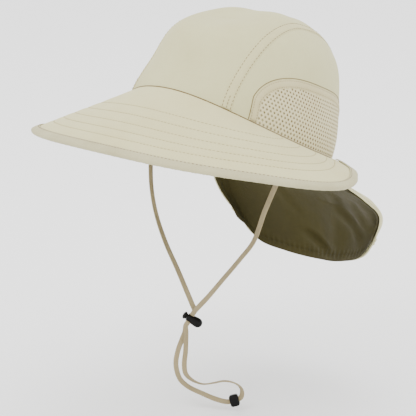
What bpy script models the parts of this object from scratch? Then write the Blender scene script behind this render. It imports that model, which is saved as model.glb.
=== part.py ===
"""Sport hat: panelled crown with mesh sides, wide bill, neck cape and chin cord.

Metres, +Z up. The wearer faces -Y and +X is the wearer's left. The origin is the centre of the head
opening, and the hat is pitched back by PITCH as it is worn.
"""
import math

import bmesh
import bpy
import numpy as np
from mathutils import Matrix, Vector

# Head opening and crown
OPENING_FRONT = 0.1002
OPENING_BACK = 0.1026
OPENING_HALF_WIDTH = 0.0822
CROWN_HEIGHT = 0.0999
CROWN_SQUARENESS = 2.2
PITCH = math.radians(21.3)
CROWN_WALL = 0.0015
CROWN_TURN_IN = 0.0065
PIECE_GAP = 0.0003
JOINT_GAP = 0.0004

# Trims that lie on the crown
BAND_THICKNESS = 0.0010
TRIM_THICKNESS = 0.0010
TRIM_WIDTH = 0.0060
TRIM_OVERLAP = 0.0005
TRIM_END_CLEARANCE = 0.0010

# Bill
BRIM_REACH = 0.088
BRIM_DROP = 0.0392
BRIM_THICKNESS = 0.0017
BRIM_BOW = 0.0020
BRIM_END = 121.0
BINDING_LIP = 0.0070
BINDING_WALL = 0.0010
BINDING_NOSE = (0.62, 0.78)
BINDING_LIP_SHARE = 0.45

# Neck cape
CAPE_HALF_WIDTH = OPENING_HALF_WIDTH * 1.16
CAPE_FLARE = 0.034
CAPE_DROP = 0.111
CAPE_CLOTH = 0.0012
LINING_CLOTH = 0.0010
CAPE_BULGE = 0.0115
CAPE_MIDDLE_BULGE = 0.35
CAPE_BULGE_RISE = 0.8
CAPE_TOP_DROP = 0.0036
CAPE_CORNER_REACH = 0.011
CAPE_CORNER_ANGLE = 110.0

# Chin cord, lock and bead
CORD_TUBE = 0.0018
LOCK_RADIUS = 0.0044
LOCK_MOUTH = 0.0036
LOCK_LENGTH = 0.0150
LOCK_WALL = 0.0007
STEM_CLEARANCE = 0.0002
STEM_LENGTH = 0.0104
HEAD_RADIUS = 0.0035
HEAD_LENGTH = 0.0034
PRESS_TRAVEL = 0.0009
WINDOW_START = 0.0005
WINDOW_LENGTH = 0.0048
WINDOW_WIDTH = 0.0044
STEM_WINDOW_MARGIN = 0.0001
BEAD_SIZE = (0.0080, 0.0110, 0.0085)
BEAD_SLOT = (0.0054, 0.0030)
BEAD_ROUND = 0.16

# Elevation above the opening (degrees), then the crown's reach there as shares of the unit dome
CROWN_FORM = (
    # elevation, front, side, back
    (-30.0, 0.93, 1.07, 0.96),
    (0.0, 0.93, 1.03, 0.95),
    (22.0, 0.88, 1.02, 0.98),
    (44.0, 0.96, 1.09, 1.11),
    (66.0, 0.92, 1.07, 1.12),
    (90.0, 1.00, 1.00, 1.00),
)
# The seam with the bill waves round the opening: cosine terms of its elevation in degrees
RIM_WAVE = (-2.1, 4.5, 2.8, 0.25)

# Angle along the middle of the crown from the front (degrees), then the two stitched lines of the
# band that joins the middle panel to the side panels, as tangents from the middle plane
BAND_LINES = (
    # angle, front line, rear line
    (0.0, 0.805, 1.020),
    (30.0, 0.780, 0.990),
    (60.0, 0.705, 0.880),
    (90.0, 0.556, 0.699),
    (120.0, 0.400, 0.515),
    (150.0, 0.335, 0.440),
    (182.0, 0.315, 0.420),
)
# Vent: middle, half span and height in degrees round and above the seam, and the arch's exponent
VENT_MIDDLE = 102.0
VENT_HALF_SPAN = 48.0
VENT_HEIGHT = 31.0
VENT_POWER = 2.6
VENT_SIDE = 0.97

# Angle round the opening (degrees), then the bill's reach and drop there as shares of its sizes
BRIM_FORM = (
    # angle, reach, drop
    (0.0, 0.932, 1.000),
    (25.0, 0.955, 0.930),
    (50.0, 0.995, 0.775),
    (75.0, 0.920, 0.665),
    (95.0, 0.555, 0.375),
    (110.0, 0.268, 0.218),
    (121.0, 0.080, 0.060),
)
# Cape edges: shares of the half width, of the flare behind the opening and of the drop
CAPE_HEM = (
    # across, back, down
    (-0.825, 0.15, 0.715),
    (-0.620, 0.44, 0.920),
    (-0.340, 0.76, 0.990),
    (0.010, 0.94, 1.010),
    (0.370, 0.85, 0.965),
    (0.650, 0.65, 0.865),
    (0.865, 0.41, 0.670),
)
CAPE_SIDE_FAR = (
    # across, back, down
    (-1.000, -1.41, 0.045),
    (-0.980, -0.68, 0.215),
    (-0.950, -0.21, 0.490),
)
CAPE_SIDE_NEAR = (
    # across, back, down
    (1.000, -1.44, 0.055),
    (1.000, -0.62, 0.240),
    (0.970, 0.18, 0.437),
)
# Soft folds of the cape: place across, width, outward depth (m), and how far down they start
CAPE_FOLDS = (
    # across, width, depth, start
    (0.10, 0.07, 0.0035, 0.10),
    (0.33, 0.09, -0.0030, 0.25),
    (0.62, 0.05, -0.0040, 0.45),
    (0.80, 0.06, -0.0045, 0.05),
    (0.92, 0.07, 0.0050, 0.20),
)

# Cord route in millimetres: near anchor, lock, loop and bead, lock again, far anchor
CORD_ROUTE_MM = (
    (82.7, -17.8, -5.7), (82.4, -19.2, -10.0), (80.3, -21.0, -20.0), (75.0, -25.0, -38.5),
    (67.0, -31.0, -64.0), (58.0, -35.5, -92.5), (46.0, -39.4, -109.8), (29.3, -43.6, -131.2),
    (13.6, -46.9, -150.8), (4.6, -48.6, -161.0), (-0.5, -48.8, -166.5), (-1.3, -50.5, -169.2),
    (-2.4, -52.5, -172.8), (-3.4, -54.5, -176.3), (-4.3, -56.1, -179.0), (-4.6, -55.6, -184.5),
    (-5.2, -55.0, -191.0), (-6.2, -54.6, -204.0), (-7.2, -55.3, -218.0), (-6.4, -54.4, -226.0),
    (-2.6, -50.6, -232.0), (5.0, -44.0, -236.0), (12.0, -37.0, -235.0), (19.0, -31.0, -233.0),
    (24.0, -26.0, -234.0), (29.0, -22.0, -237.0), (31.0, -20.0, -241.0), (31.2, -19.7, -246.0),
    (30.2, -20.6, -249.3), (26.2, -24.4, -251.7), (22.0, -28.4, -253.1), (15.0, -35.0, -251.0),
    (5.0, -44.0, -245.3), (-5.0, -53.0, -238.5), (-10.0, -57.5, -232.0), (-12.0, -59.5, -225.0),
    (-12.6, -60.7, -215.0), (-11.5, -58.8, -203.5), (-9.1, -56.0, -193.0), (-7.0, -54.6, -186.0),
    (-5.7, -54.6, -179.5), (-4.9, -52.9, -176.8), (-3.8, -50.9, -173.2), (-2.8, -48.9, -169.7),
    (-2.0, -47.3, -167.0), (-4.5, -48.2, -160.0), (-11.0, -48.0, -150.0), (-25.0, -45.0, -134.0),
    (-45.0, -41.0, -112.0), (-62.0, -36.0, -89.0), (-71.6, -32.0, -67.0), (-78.0, -26.5, -45.0),
    (-81.0, -22.5, -25.0), (-82.4, -19.2, -10.0), (-82.7, -17.8, -5.7),
)
CORD_POINTS = 80
LOCK_CENTRE_MM = (-3.1, -51.7, -173.0)
LOCK_AXIS = (0.702, 0.504, -0.503)
LOCK_FACE = (0.666, -0.714, 0.215)
BEAD_CENTRE_MM = (26.2, -24.4, -251.7)
BEAD_AXIS = (0.70, 0.66, 0.27)

# Cells across the surfaces
CENTRE_CELLS = (12, 26)
END_ROWS = 0.45
SIDE_CELLS = 6
VENT_CELLS = (13, 6)
FOOT_CELLS = 2
BAND_CELLS = 30
BRIM_CELLS = (52, 6)
CAPE_CELLS = (22, 10)
TURNED_STEPS = 16

CLOTH = ((0.58, 0.56, 0.45, 1.0), 0.85, 0.0)
MESH_CLOTH = ((0.60, 0.56, 0.47, 1.0), 0.80, 0.0)
TRIM_CLOTH = ((0.52, 0.48, 0.40, 1.0), 0.85, 0.0)
BRIM_CLOTH = ((0.65, 0.61, 0.48, 1.0), 0.85, 0.0)
BINDING_CLOTH = ((0.55, 0.53, 0.42, 1.0), 0.80, 0.0)
LINING_COLOUR = ((0.07, 0.06, 0.02, 1.0), 0.80, 0.0)
LACE = ((0.35, 0.30, 0.20, 1.0), 0.80, 0.0)
BLACK_PLASTIC = ((0.01, 0.01, 0.01, 1.0), 0.45, 0.0)


def rows(table, column):
    """The first column of a table and the named one, as arrays."""
    data = np.array(table)
    return data[:, 0], data[:, column]


def smooth(x, stations, values, flat_start=False, flat_end=False):
    """Cubic curve through the values, read at x and held beyond the ends."""
    x = np.clip(x, stations[0], stations[-1])
    rise = np.diff(values) / np.diff(stations)
    slope = np.empty_like(values)
    slope[1:-1] = (rise[:-1] + rise[1:]) / 2
    slope[0] = 0.0 if flat_start else rise[0]
    slope[-1] = 0.0 if flat_end else rise[-1]
    cell = np.clip(np.searchsorted(stations, x, side="right") - 1, 0, len(stations) - 2)
    width = stations[cell + 1] - stations[cell]
    t = (x - stations[cell]) / width
    return (values[cell] * (2 * t**3 - 3 * t**2 + 1) + values[cell + 1] * (3 * t**2 - 2 * t**3)
            + width * slope[cell] * (t**3 - 2 * t**2 + t) + width * slope[cell + 1] * (t**3 - t**2))


def through(points, shares):
    """Points of a smooth curve through a list of points, at shares of its length."""
    points = np.array(points, dtype=float)
    chord = np.concatenate([[0.0], np.cumsum(np.linalg.norm(np.diff(points, axis=0), axis=1))])
    at = np.asarray(shares) * chord[-1]
    return np.stack([smooth(at, chord, points[:, k]) for k in range(3)], axis=-1)


def unit(vectors):
    return vectors / np.linalg.norm(vectors, axis=-1, keepdims=True)


def direction(azimuth, elevation):
    """Unit direction in the opening's plane; angles in degrees, azimuth 0 at the front."""
    a = np.radians(azimuth)
    e = np.radians(elevation)
    return np.stack([np.cos(e) * np.sin(a), -np.cos(e) * np.cos(a), np.sin(e)], axis=-1)


def angles(way):
    """Azimuth and elevation in degrees of directions in the opening's plane."""
    way = unit(way)
    return (np.degrees(np.arctan2(way[..., 0], -way[..., 1])),
            np.degrees(np.arcsin(np.clip(way[..., 2], -1, 1))))


def pitched(points):
    """From the opening's plane to the hat as it is worn."""
    c = math.cos(PITCH)
    s = math.sin(PITCH)
    x, y, z = points[..., 0], points[..., 1], points[..., 2]
    return np.stack([x, y * c + z * s, -y * s + z * c], axis=-1)


def dome(way):
    """The crown's inner surface in each direction."""
    azimuth, elevation = angles(way)
    front, side, back = (smooth(elevation, *rows(CROWN_FORM, k), flat_end=True) for k in (1, 2, 3))
    a = np.radians(azimuth)
    power = 2 + (CROWN_SQUARENESS - 2) * np.cos(np.radians(elevation)) ** 2
    along = np.where(np.cos(a) > 0, front, back)
    reach = ((np.abs(np.cos(a)) / along) ** power + (np.abs(np.sin(a)) / side) ** power) ** (-1 / power)
    shape = direction(azimuth, elevation) * reach[..., None]
    length = np.where(shape[..., 1] < 0, OPENING_FRONT, OPENING_BACK)
    return pitched(np.stack([shape[..., 0] * OPENING_HALF_WIDTH, shape[..., 1] * length,
                             shape[..., 2] * CROWN_HEIGHT], axis=-1))


def crown(way, lift=0.0):
    """The crown's surface in each direction, lifted along its normal."""
    way = unit(np.asarray(way, dtype=float))
    if not lift:
        return dome(way)
    step = 1e-3
    side = np.cross(way, np.array([0.31, 0.17, 0.93]))
    side = unit(side)
    other = np.cross(way, side)
    across = dome(unit(way + step * side)) - dome(unit(way - step * side))
    along = dome(unit(way + step * other)) - dome(unit(way - step * other))
    return dome(way) + lift * unit(np.cross(across, along))


def rim_elevation(azimuth):
    a = np.radians(azimuth)
    return sum(term * np.cos(k * a) for k, term in enumerate(RIM_WAVE))


def rise_angle(length):
    """The angle in degrees that a length takes up on the crown's side."""
    return math.degrees(length / OPENING_HALF_WIDTH)


def foot_elevation(azimuth):
    """The crown's lower edge, turned in below the seam."""
    return rim_elevation(azimuth) - rise_angle(CROWN_TURN_IN)


def trim_elevation(azimuth):
    """Where trims on the crown end, just above the seam."""
    return rim_elevation(azimuth) + rise_angle(TRIM_END_CLEARANCE)


def arc_way(angle, tangent):
    """Direction at an angle along the middle of the crown and a tangent to the side."""
    a = np.radians(angle)
    tangent = tangent + np.zeros_like(a)
    return unit(np.stack([tangent, -np.cos(a), np.sin(a)], axis=-1))


def band_line(angle, name):
    """Tangent of the band's front line, rear line or middle at an angle along the crown."""
    front = smooth(angle, *rows(BAND_LINES, 1))
    rear = smooth(angle, *rows(BAND_LINES, 2))
    return {"front": front, "rear": rear, "middle": (front + rear) / 2}[name]


def arc_end(tangent_at, edge, behind):
    """Angle along the crown where a line meets an edge, searched by halving."""
    inside, outside = (90.0, 215.0) if behind else (90.0, -40.0)
    for _ in range(40):
        middle = (inside + outside) / 2
        azimuth, elevation = angles(arc_way(middle, tangent_at(middle)))
        if elevation > edge(azimuth):
            inside = middle
        else:
            outside = middle
    return (inside + outside) / 2


def vent_arch(shares, inset=0.0):
    """Azimuth and elevation of the vent's arch at shares of its half span."""
    azimuth = VENT_MIDDLE + (VENT_HALF_SPAN - inset) * shares
    rise = (VENT_HEIGHT - inset) * (1 - np.abs(shares) ** VENT_POWER) ** (1 / VENT_POWER)
    return azimuth, rim_elevation(azimuth) + rise


def vent_shares(cells):
    """Shares of the half span, closer together where the arch turns down."""
    return VENT_SIDE * np.sin(np.linspace(-1, 1, cells + 1) * math.pi / 2)


def arch_ways(foot, inset=0.0):
    """Directions up one side of the vent, over its arch and down the other side."""
    shares = vent_shares(VENT_CELLS[0])
    azimuth, elevation = vent_arch(shares, inset)
    ways = []
    for k in range(FOOT_CELLS):
        low = foot(azimuth[0])
        ways.append(direction(azimuth[0], low + (elevation[0] - low) * k / FOOT_CELLS))
    ways.extend(direction(azimuth, elevation))
    for k in range(FOOT_CELLS - 1, -1, -1):
        low = foot(azimuth[-1])
        ways.append(direction(azimuth[-1], low + (elevation[-1] - low) * k / FOOT_CELLS))
    return np.array(ways)


def mirrored(points):
    return points * np.array([-1.0, 1.0, 1.0])


def material(name, look):
    colour, roughness, metallic = look
    made = bpy.data.materials.new(name)
    made.use_nodes = True
    shader = made.node_tree.nodes["Principled BSDF"]
    shader.inputs["Base Color"].default_value = colour
    shader.inputs["Roughness"].default_value = roughness
    shader.inputs["Metallic"].default_value = metallic
    return made


def add_object(name, mesh, look, collection):
    made = bpy.data.objects.new(name, mesh)
    mesh.materials.append(material(name, look))
    collection.objects.link(made)
    return made


def grid_faces(columns, count, start=0):
    return [(start + i * count + j, start + (i + 1) * count + j,
             start + (i + 1) * count + j + 1, start + i * count + j + 1)
            for i in range(columns - 1) for j in range(count - 1)]


def sheet(name, grid, thickness, look, collection):
    """An open grid of points thickened outwards from the head."""
    columns, count = grid.shape[:2]
    mesh = bpy.data.meshes.new(name)
    mesh.from_pydata(grid.reshape(-1, 3).tolist(), [], grid_faces(columns, count))
    mesh.update()
    facing = sum(p.normal.dot(p.center) * p.area for p in mesh.polygons)
    if facing < 0:
        mesh.flip_normals()
    mesh.shade_smooth()
    made = add_object(name, mesh, look, collection)
    solidify = made.modifiers.new("thickness", "SOLIDIFY")
    solidify.thickness = thickness
    solidify.offset = 1.0
    return made


def slab(name, upper, lower, look, collection):
    """A closed loft between two grids of the same cells."""
    columns, count = upper.shape[:2]
    size = columns * count
    points = np.concatenate([upper.reshape(-1, 3), lower.reshape(-1, 3)])
    faces = grid_faces(columns, count) + grid_faces(columns, count, size)
    border = ([i * count for i in range(columns)]
              + [(columns - 1) * count + j for j in range(1, count)]
              + [i * count + count - 1 for i in range(columns - 2, -1, -1)]
              + list(range(count - 2, 0, -1)))
    for k, first in enumerate(border):
        second = border[(k + 1) % len(border)]
        faces.append((first, second, second + size, first + size))
    return closed_mesh(name, points, faces, look, collection)


def sweep(name, sections, look, collection):
    """A closed bar lofted through a row of sections of as many points each."""
    columns, count = sections.shape[:2]
    faces = [(i * count + j, (i + 1) * count + j,
              (i + 1) * count + (j + 1) % count, i * count + (j + 1) % count)
             for i in range(columns - 1) for j in range(count)]
    faces.append(tuple(range(count)))
    faces.append(tuple((columns - 1) * count + j for j in range(count)))
    return closed_mesh(name, sections.reshape(-1, 3), faces, look, collection)


def closed_mesh(name, points, faces, look, collection):
    mesh = bpy.data.meshes.new(name)
    mesh.from_pydata(np.asarray(points).tolist(), [], faces)
    work = bmesh.new()
    work.from_mesh(mesh)
    bmesh.ops.recalc_face_normals(work, faces=work.faces)
    work.to_mesh(mesh)
    work.free()
    mesh.shade_smooth()
    mesh.set_sharp_from_angle(angle=math.radians(40))
    return add_object(name, mesh, look, collection)


def crown_centre_panel(collection):
    """The panel over the middle of the head, between the two bands."""
    across, along = CENTRE_CELLS
    joint = JOINT_GAP / (2 * OPENING_HALF_WIDTH)
    grid = []
    for share in np.linspace(-1, 1, across + 1):
        def tangent(angle, share=share):
            return share * (band_line(angle, "middle") - joint * (1 + band_line(angle, "middle") ** 2))
        ends = [arc_end(tangent, foot_elevation, behind) for behind in (False, True)]
        step = np.linspace(0, 1, along + 1)
        step = step - END_ROWS * np.sin(2 * math.pi * step) / (2 * math.pi)
        angle = ends[0] + (ends[1] - ends[0]) * step
        grid.append(crown(arc_way(angle, tangent(angle))))
    sheet("crown_center_panel", np.array(grid), CROWN_WALL, CLOTH, collection)


def crown_side_panels(collection):
    """The fabric between the band and the vent's arch, and down to the seam at both ends."""
    arch = arch_ways(foot_elevation)
    joint = JOINT_GAP / (2 * OPENING_HALF_WIDTH)

    def tangent(angle):
        return band_line(angle, "middle") + joint * (1 + band_line(angle, "middle") ** 2)
    ends = [arc_end(tangent, foot_elevation, behind) for behind in (False, True)]
    steps = np.concatenate([[0.0], np.cumsum(np.linalg.norm(np.diff(crown(arch), axis=0), axis=1))])
    angle = ends[0] + (ends[1] - ends[0]) * steps / steps[-1]
    band = arc_way(angle, tangent(angle))
    shares = np.linspace(0, 1, SIDE_CELLS + 1)[None, :, None]
    grid = crown(arch[:, None] * (1 - shares) + band[:, None] * shares)
    sheet("crown_side_panel_left", grid, CROWN_WALL, CLOTH, collection)
    sheet("crown_side_panel_right", mirrored(grid), CROWN_WALL, CLOTH, collection)


def mesh_panels(collection):
    """The vents below the arch, down to the turned in edge."""
    azimuth, top = vent_arch(vent_shares(VENT_CELLS[0]), rise_angle(JOINT_GAP))
    shares = np.linspace(0, 1, VENT_CELLS[1] + 1)[None, :]
    low = foot_elevation(azimuth)[:, None]
    grid = crown(direction(azimuth[:, None], low + (top[:, None] - low) * shares))
    sheet("mesh_panel_left", grid, CROWN_WALL, MESH_CLOTH, collection)
    sheet("mesh_panel_right", mirrored(grid), CROWN_WALL, MESH_CLOTH, collection)


def seam_bands(collection):
    """Felled bands that lie over the joint between the middle panel and the side panels."""
    lift = CROWN_WALL + JOINT_GAP
    lines = []
    for name in ("front", "middle", "rear"):
        def tangent(angle, name=name):
            return band_line(angle, name)
        ends = [arc_end(tangent, trim_elevation, behind) for behind in (False, True)]
        angle = np.linspace(*ends, BAND_CELLS + 1)
        lines.append(crown(arc_way(angle, tangent(angle)), lift))
    grid = np.array(lines)
    sheet("seam_band_left", grid, BAND_THICKNESS, CLOTH, collection)
    sheet("seam_band_right", mirrored(grid), BAND_THICKNESS, CLOTH, collection)


def mesh_trims(collection):
    """Folded facings round the arch of each vent, over the joint with the side panel."""
    lift = CROWN_WALL + JOINT_GAP
    insets = (-rise_angle(TRIM_OVERLAP), rise_angle(TRIM_WIDTH) / 2, rise_angle(TRIM_WIDTH))
    grid = np.array([crown(arch_ways(trim_elevation, inset), lift) for inset in insets])
    sheet("mesh_trim_left", grid, TRIM_THICKNESS, TRIM_CLOTH, collection)
    sheet("mesh_trim_right", mirrored(grid), TRIM_THICKNESS, TRIM_CLOTH, collection)


def brim_seam(azimuth):
    """Where the bill's upper face starts on the crown's outer face, and the level way out from it."""
    lift = CROWN_WALL + PIECE_GAP
    step = 0.05
    seam = crown(direction(azimuth, rim_elevation(azimuth)), lift)
    after = crown(direction(azimuth + step, rim_elevation(azimuth + step)), lift)
    before = crown(direction(azimuth - step, rim_elevation(azimuth - step)), lift)
    run = after - before
    out = unit(np.stack([run[..., 1], -run[..., 0], np.zeros_like(run[..., 0])], axis=-1))
    return seam, out


def brim_sizes(azimuth):
    """The bill's level reach and its drop at an azimuth."""
    turn = np.abs(azimuth)
    reach = BRIM_REACH * smooth(turn, *rows(BRIM_FORM, 1), flat_start=True)
    drop = BRIM_DROP * smooth(turn, *rows(BRIM_FORM, 2), flat_start=True)
    return reach, drop


def brim_face(azimuth, share):
    """A point of the bill's upper face, at a share of the way from the seam to the edge."""
    seam, out = brim_seam(azimuth)
    reach, drop = brim_sizes(azimuth)
    point = seam + out * (reach * share)[..., None]
    point[..., 2] += BRIM_BOW * 4 * share * (1 - share) * reach / BRIM_REACH - drop * share
    return point


def brim_grids():
    """The bill's upper and lower faces, on the same cells."""
    turn = np.linspace(-BRIM_END, BRIM_END, BRIM_CELLS[0] + 1)
    share = np.linspace(0, 1, BRIM_CELLS[1] + 1)
    azimuth, across = np.meshgrid(turn, share, indexing="ij")
    upper = brim_face(azimuth, across)
    step = 1e-3
    run = brim_face(azimuth + step, across) - brim_face(azimuth - step, across)
    reach = brim_face(azimuth, across + step) - brim_face(azimuth, across - step)
    normal = unit(np.cross(reach, run))
    normal *= np.sign(normal[..., 2:])
    under = rim_elevation(turn) - rise_angle(BRIM_THICKNESS)
    fall = crown(direction(turn, under), CROWN_WALL + PIECE_GAP) - upper[:, 0]
    down = unit(unit(fall)[:, None] * (1 - across[..., None]) - normal * across[..., None])
    return upper, upper + down * BRIM_THICKNESS


def brim(collection):
    upper, lower = brim_grids()
    slab("brim", upper, lower, BRIM_CLOTH, collection)


def binding_section(lip):
    """Outline of the folded binding: inward from the bill's edge, then up from its upper face."""
    gap = PIECE_GAP
    outer = BINDING_WALL + gap
    low = -BRIM_THICKNESS
    nose = BRIM_THICKNESS / 2 + outer
    middle = low / 2
    side = nose * BINDING_NOSE[0]
    rise = nose * BINDING_NOSE[1]
    return [(lip, outer), (0.0, outer), (-side, middle + rise), (-nose, middle),
            (-side, middle - rise), (0.0, low - outer), (lip, low - outer),
            (lip, low - gap), (-gap, low - gap), (-gap, gap), (lip, gap)]


def brim_binding(collection):
    """The binding folded round the bill's edge from one rear end to the other."""
    upper, lower = brim_grids()
    edge = upper[:, -1]
    inward = unit(upper[:, -2] - edge)
    up = unit(edge - lower[:, -1])
    along = unit(np.gradient(edge, axis=0))
    slant = np.linalg.norm(np.cross(along, inward), axis=-1)
    widen = 1 / np.clip(slant, 0.5, 1)
    reach = np.linalg.norm(upper[:, 0] - edge, axis=-1)
    lips = np.minimum(BINDING_LIP, BINDING_LIP_SHARE * reach)
    sections = [[edge[k] + inward[k] * x * widen[k] + up[k] * z
                 for x, z in binding_section(lips[k] / widen[k])] for k in range(len(edge))]
    sweep("brim_binding", np.array(sections), BINDING_CLOTH, collection)


def cape_top(share):
    """The cape's upper edge: round the back of the crown, then out under the bill's rear corners."""
    turn = 180 - (180 - CAPE_CORNER_ANGLE) * np.abs(share)
    low = rim_elevation(turn) - rise_angle(CAPE_TOP_DROP)
    point = crown(direction(turn, low), CROWN_WALL + PIECE_GAP * 1.5)
    out = brim_seam(turn)[1]
    reach, drop = brim_sizes(turn)
    away = CAPE_CORNER_REACH * np.clip((BRIM_END - turn) / (BRIM_END - CAPE_CORNER_ANGLE), 0, 1)
    point = point + out * away[..., None]
    point[..., 2] -= drop * away / reach
    return np.where((share < 0)[..., None], mirrored(point), point)


def cape_edge(table):
    """Points of a cape edge from its table of shares."""
    back = dome(direction(180.0, rim_elevation(180.0)))
    data = np.array(table)
    return np.stack([data[:, 0] * CAPE_HALF_WIDTH, back[1] + data[:, 1] * CAPE_FLARE,
                     back[2] - data[:, 2] * CAPE_DROP], axis=-1)


def cape_surface(across, down):
    """The cape between its four edges, blown out and folded; across and down run from 0 to 1."""
    hem = cape_edge(CAPE_HEM)
    far = np.vstack([cape_top(np.array([-1.0])), cape_edge(CAPE_SIDE_FAR), hem[:1]])
    near = np.vstack([cape_top(np.array([1.0])), cape_edge(CAPE_SIDE_NEAR), hem[-1:]])
    u = across[..., None]
    v = down[..., None]
    top_line = cape_top(2 * across - 1)
    hem_line = through(hem, across)
    far_line = through(far, down)
    near_line = through(near, down)
    corners = ((1 - u) * (1 - v) * far[0] + u * (1 - v) * near[0]
               + (1 - u) * v * far[-1] + u * v * near[-1])
    surface = (1 - v) * top_line + v * hem_line + (1 - u) * far_line + u * near_line - corners
    spread = np.sin(math.pi * np.clip(across, 0, 1))
    fall = np.sin(math.pi * np.clip(down, 0, 1) ** CAPE_BULGE_RISE)
    push = CAPE_BULGE * (CAPE_MIDDLE_BULGE + (1 - CAPE_MIDDLE_BULGE) * (1 - spread**2)) * fall
    push = push * np.clip(spread * 4, 0, 1)
    for place, width, depth, start in CAPE_FOLDS:
        ramp = np.clip((down - start) / (1 - start), 0, 1)
        along = np.sin(math.pi * ramp**CAPE_BULGE_RISE)
        push = push + depth * np.exp(-(((across - place) / width) ** 2)) * along
    out = surface - np.array([0.0, OPENING_BACK / 4, 0.0])
    out[..., 2] = 0.0
    return surface + unit(out) * push[..., None]


def cape(collection):
    across, down = np.meshgrid(np.linspace(0, 1, CAPE_CELLS[0] + 1),
                               np.linspace(0, 1, CAPE_CELLS[1] + 1), indexing="ij")
    step = 1e-3

    def normal(u, v):
        run = cape_surface(u + step, v) - cape_surface(u - step, v)
        fall = cape_surface(u, v + step) - cape_surface(u, v - step)
        return unit(np.cross(run, fall))
    outer_inside = cape_surface(across, down)
    out = normal(across, down)
    slab("cape_outer", outer_inside + out * CAPE_CLOTH, outer_inside, CLOTH, collection)
    start = (CROWN_TURN_IN + PIECE_GAP * 2 - CAPE_TOP_DROP) / CAPE_DROP * CAPE_CELLS[1]
    surface = outer_inside.copy()
    surface[:, 0] += start * (surface[:, 1] - surface[:, 0])
    out[:, 0] += start * (out[:, 1] - out[:, 0])
    slab("cape_lining", surface - out * JOINT_GAP, surface - out * (JOINT_GAP + LINING_CLOTH),
         LINING_COLOUR, collection)


def chin_cord(collection):
    """The lace's run as a plain tube, from one anchor through the lock and bead to the other."""
    shares = np.linspace(0, 1, CORD_POINTS)
    points = through(np.array(CORD_ROUTE_MM) * 0.001, shares)
    curve = bpy.data.curves.new("chin_cord", "CURVE")
    curve.dimensions = "3D"
    curve.bevel_depth = CORD_TUBE / 2
    curve.bevel_resolution = 2
    curve.use_fill_caps = True
    curve.render_resolution_u = 0
    spline = curve.splines.new("POLY")
    spline.points.add(len(points) - 1)
    for place, point in zip(spline.points, points):
        place.co = (*point, 1.0)
    made = bpy.data.objects.new("chin_cord", curve)
    curve.materials.append(material("chin_cord", LACE))
    collection.objects.link(made)


def lock_frame():
    """Local +Z runs along the lock from its head, +X faces the way the cord is squeezed."""
    axis = Vector(LOCK_AXIS).normalized()
    face = Vector(LOCK_FACE)
    face = (face - axis * face.dot(axis)).normalized()
    across = axis.cross(face)
    frame = Matrix((face, across, axis)).transposed().to_4x4()
    middle = WINDOW_START + WINDOW_LENGTH / 2
    frame.translation = Vector(LOCK_CENTRE_MM) * 0.001 - axis * middle
    return frame


def turned(name, profile, look, collection):
    """A turned solid: the profile runs down the outer side, from top to bottom."""
    mesh = bpy.data.meshes.new(name)
    mesh.from_pydata([(r, 0.0, z) for r, z in profile], [(k, k + 1) for k in range(len(profile) - 1)], [])
    made = add_object(name, mesh, look, collection)
    screw = made.modifiers.new("turn", "SCREW")
    screw.steps = TURNED_STEPS
    screw.render_steps = TURNED_STEPS
    screw.use_merge_vertices = True
    screw.merge_threshold = 0.00001
    made.matrix_world = lock_frame()
    return made


def window_cutter(name, low, high, width, cutters):
    """A box through the lock, from low to high along it."""
    bpy.ops.mesh.primitive_cube_add(size=1.0)
    cutter = bpy.context.active_object
    cutter.name = name
    for owner in cutter.users_collection:
        owner.objects.unlink(cutter)
    cutters.objects.link(cutter)
    cutter.hide_render = True
    cutter.display_type = "WIRE"
    size = Matrix.Diagonal((width, LOCK_RADIUS * 3, high - low, 1.0))
    cutter.matrix_world = lock_frame() @ Matrix.Translation((0, 0, (low + high) / 2)) @ size
    return cutter


def cut(piece, cutter):
    boolean = piece.modifiers.new("window", "BOOLEAN")
    boolean.operation = "DIFFERENCE"
    boolean.solver = "EXACT"
    boolean.object = cutter


def cord_lock(collection, cutters):
    """Spring cord lock: a barrel and a plunger with crossing windows for both runs of the cord."""
    radius = LOCK_RADIUS
    bore = LOCK_MOUTH - LOCK_WALL
    bore_end = STEM_LENGTH + PRESS_TRAVEL + STEM_CLEARANCE
    barrel = turned("lock_barrel", [
        (0.0, LOCK_LENGTH), (radius * 0.55, LOCK_LENGTH - radius * 0.14),
        (radius * 0.88, LOCK_LENGTH - radius * 0.45), (radius, LOCK_LENGTH - radius),
        (radius * 0.985, LOCK_LENGTH * 0.55), (LOCK_MOUTH * 1.05, LOCK_LENGTH * 0.27),
        (LOCK_MOUTH, 0.0), (bore, 0.0), (bore, bore_end), (0.0, bore_end),
    ], BLACK_PLASTIC, collection)
    window_end = WINDOW_START + WINDOW_LENGTH
    cut(barrel, window_cutter("barrel_window", WINDOW_START, window_end, WINDOW_WIDTH, cutters))
    stem = bore - STEM_CLEARANCE
    head_low = -(PRESS_TRAVEL + STEM_CLEARANCE)
    head_end = head_low - HEAD_LENGTH
    plunger = turned("lock_plunger", [
        (0.0, STEM_LENGTH), (stem * 0.9, STEM_LENGTH), (stem, STEM_LENGTH - stem * 0.1), (stem, head_low),
        (HEAD_RADIUS * 0.92, head_low), (HEAD_RADIUS, head_low - HEAD_LENGTH * 0.3),
        (HEAD_RADIUS * 0.94, head_low - HEAD_LENGTH * 0.65),
        (HEAD_RADIUS * 0.6, head_end + HEAD_LENGTH * 0.1), (0.0, head_end),
    ], BLACK_PLASTIC, collection)
    stem_high = window_end - STEM_WINDOW_MARGIN
    stem_low = stem_high - WINDOW_LENGTH - PRESS_TRAVEL + STEM_WINDOW_MARGIN * 2
    width = WINDOW_WIDTH - STEM_WINDOW_MARGIN
    cut(plunger, window_cutter("plunger_window", stem_low, stem_high, width, cutters))


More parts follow.
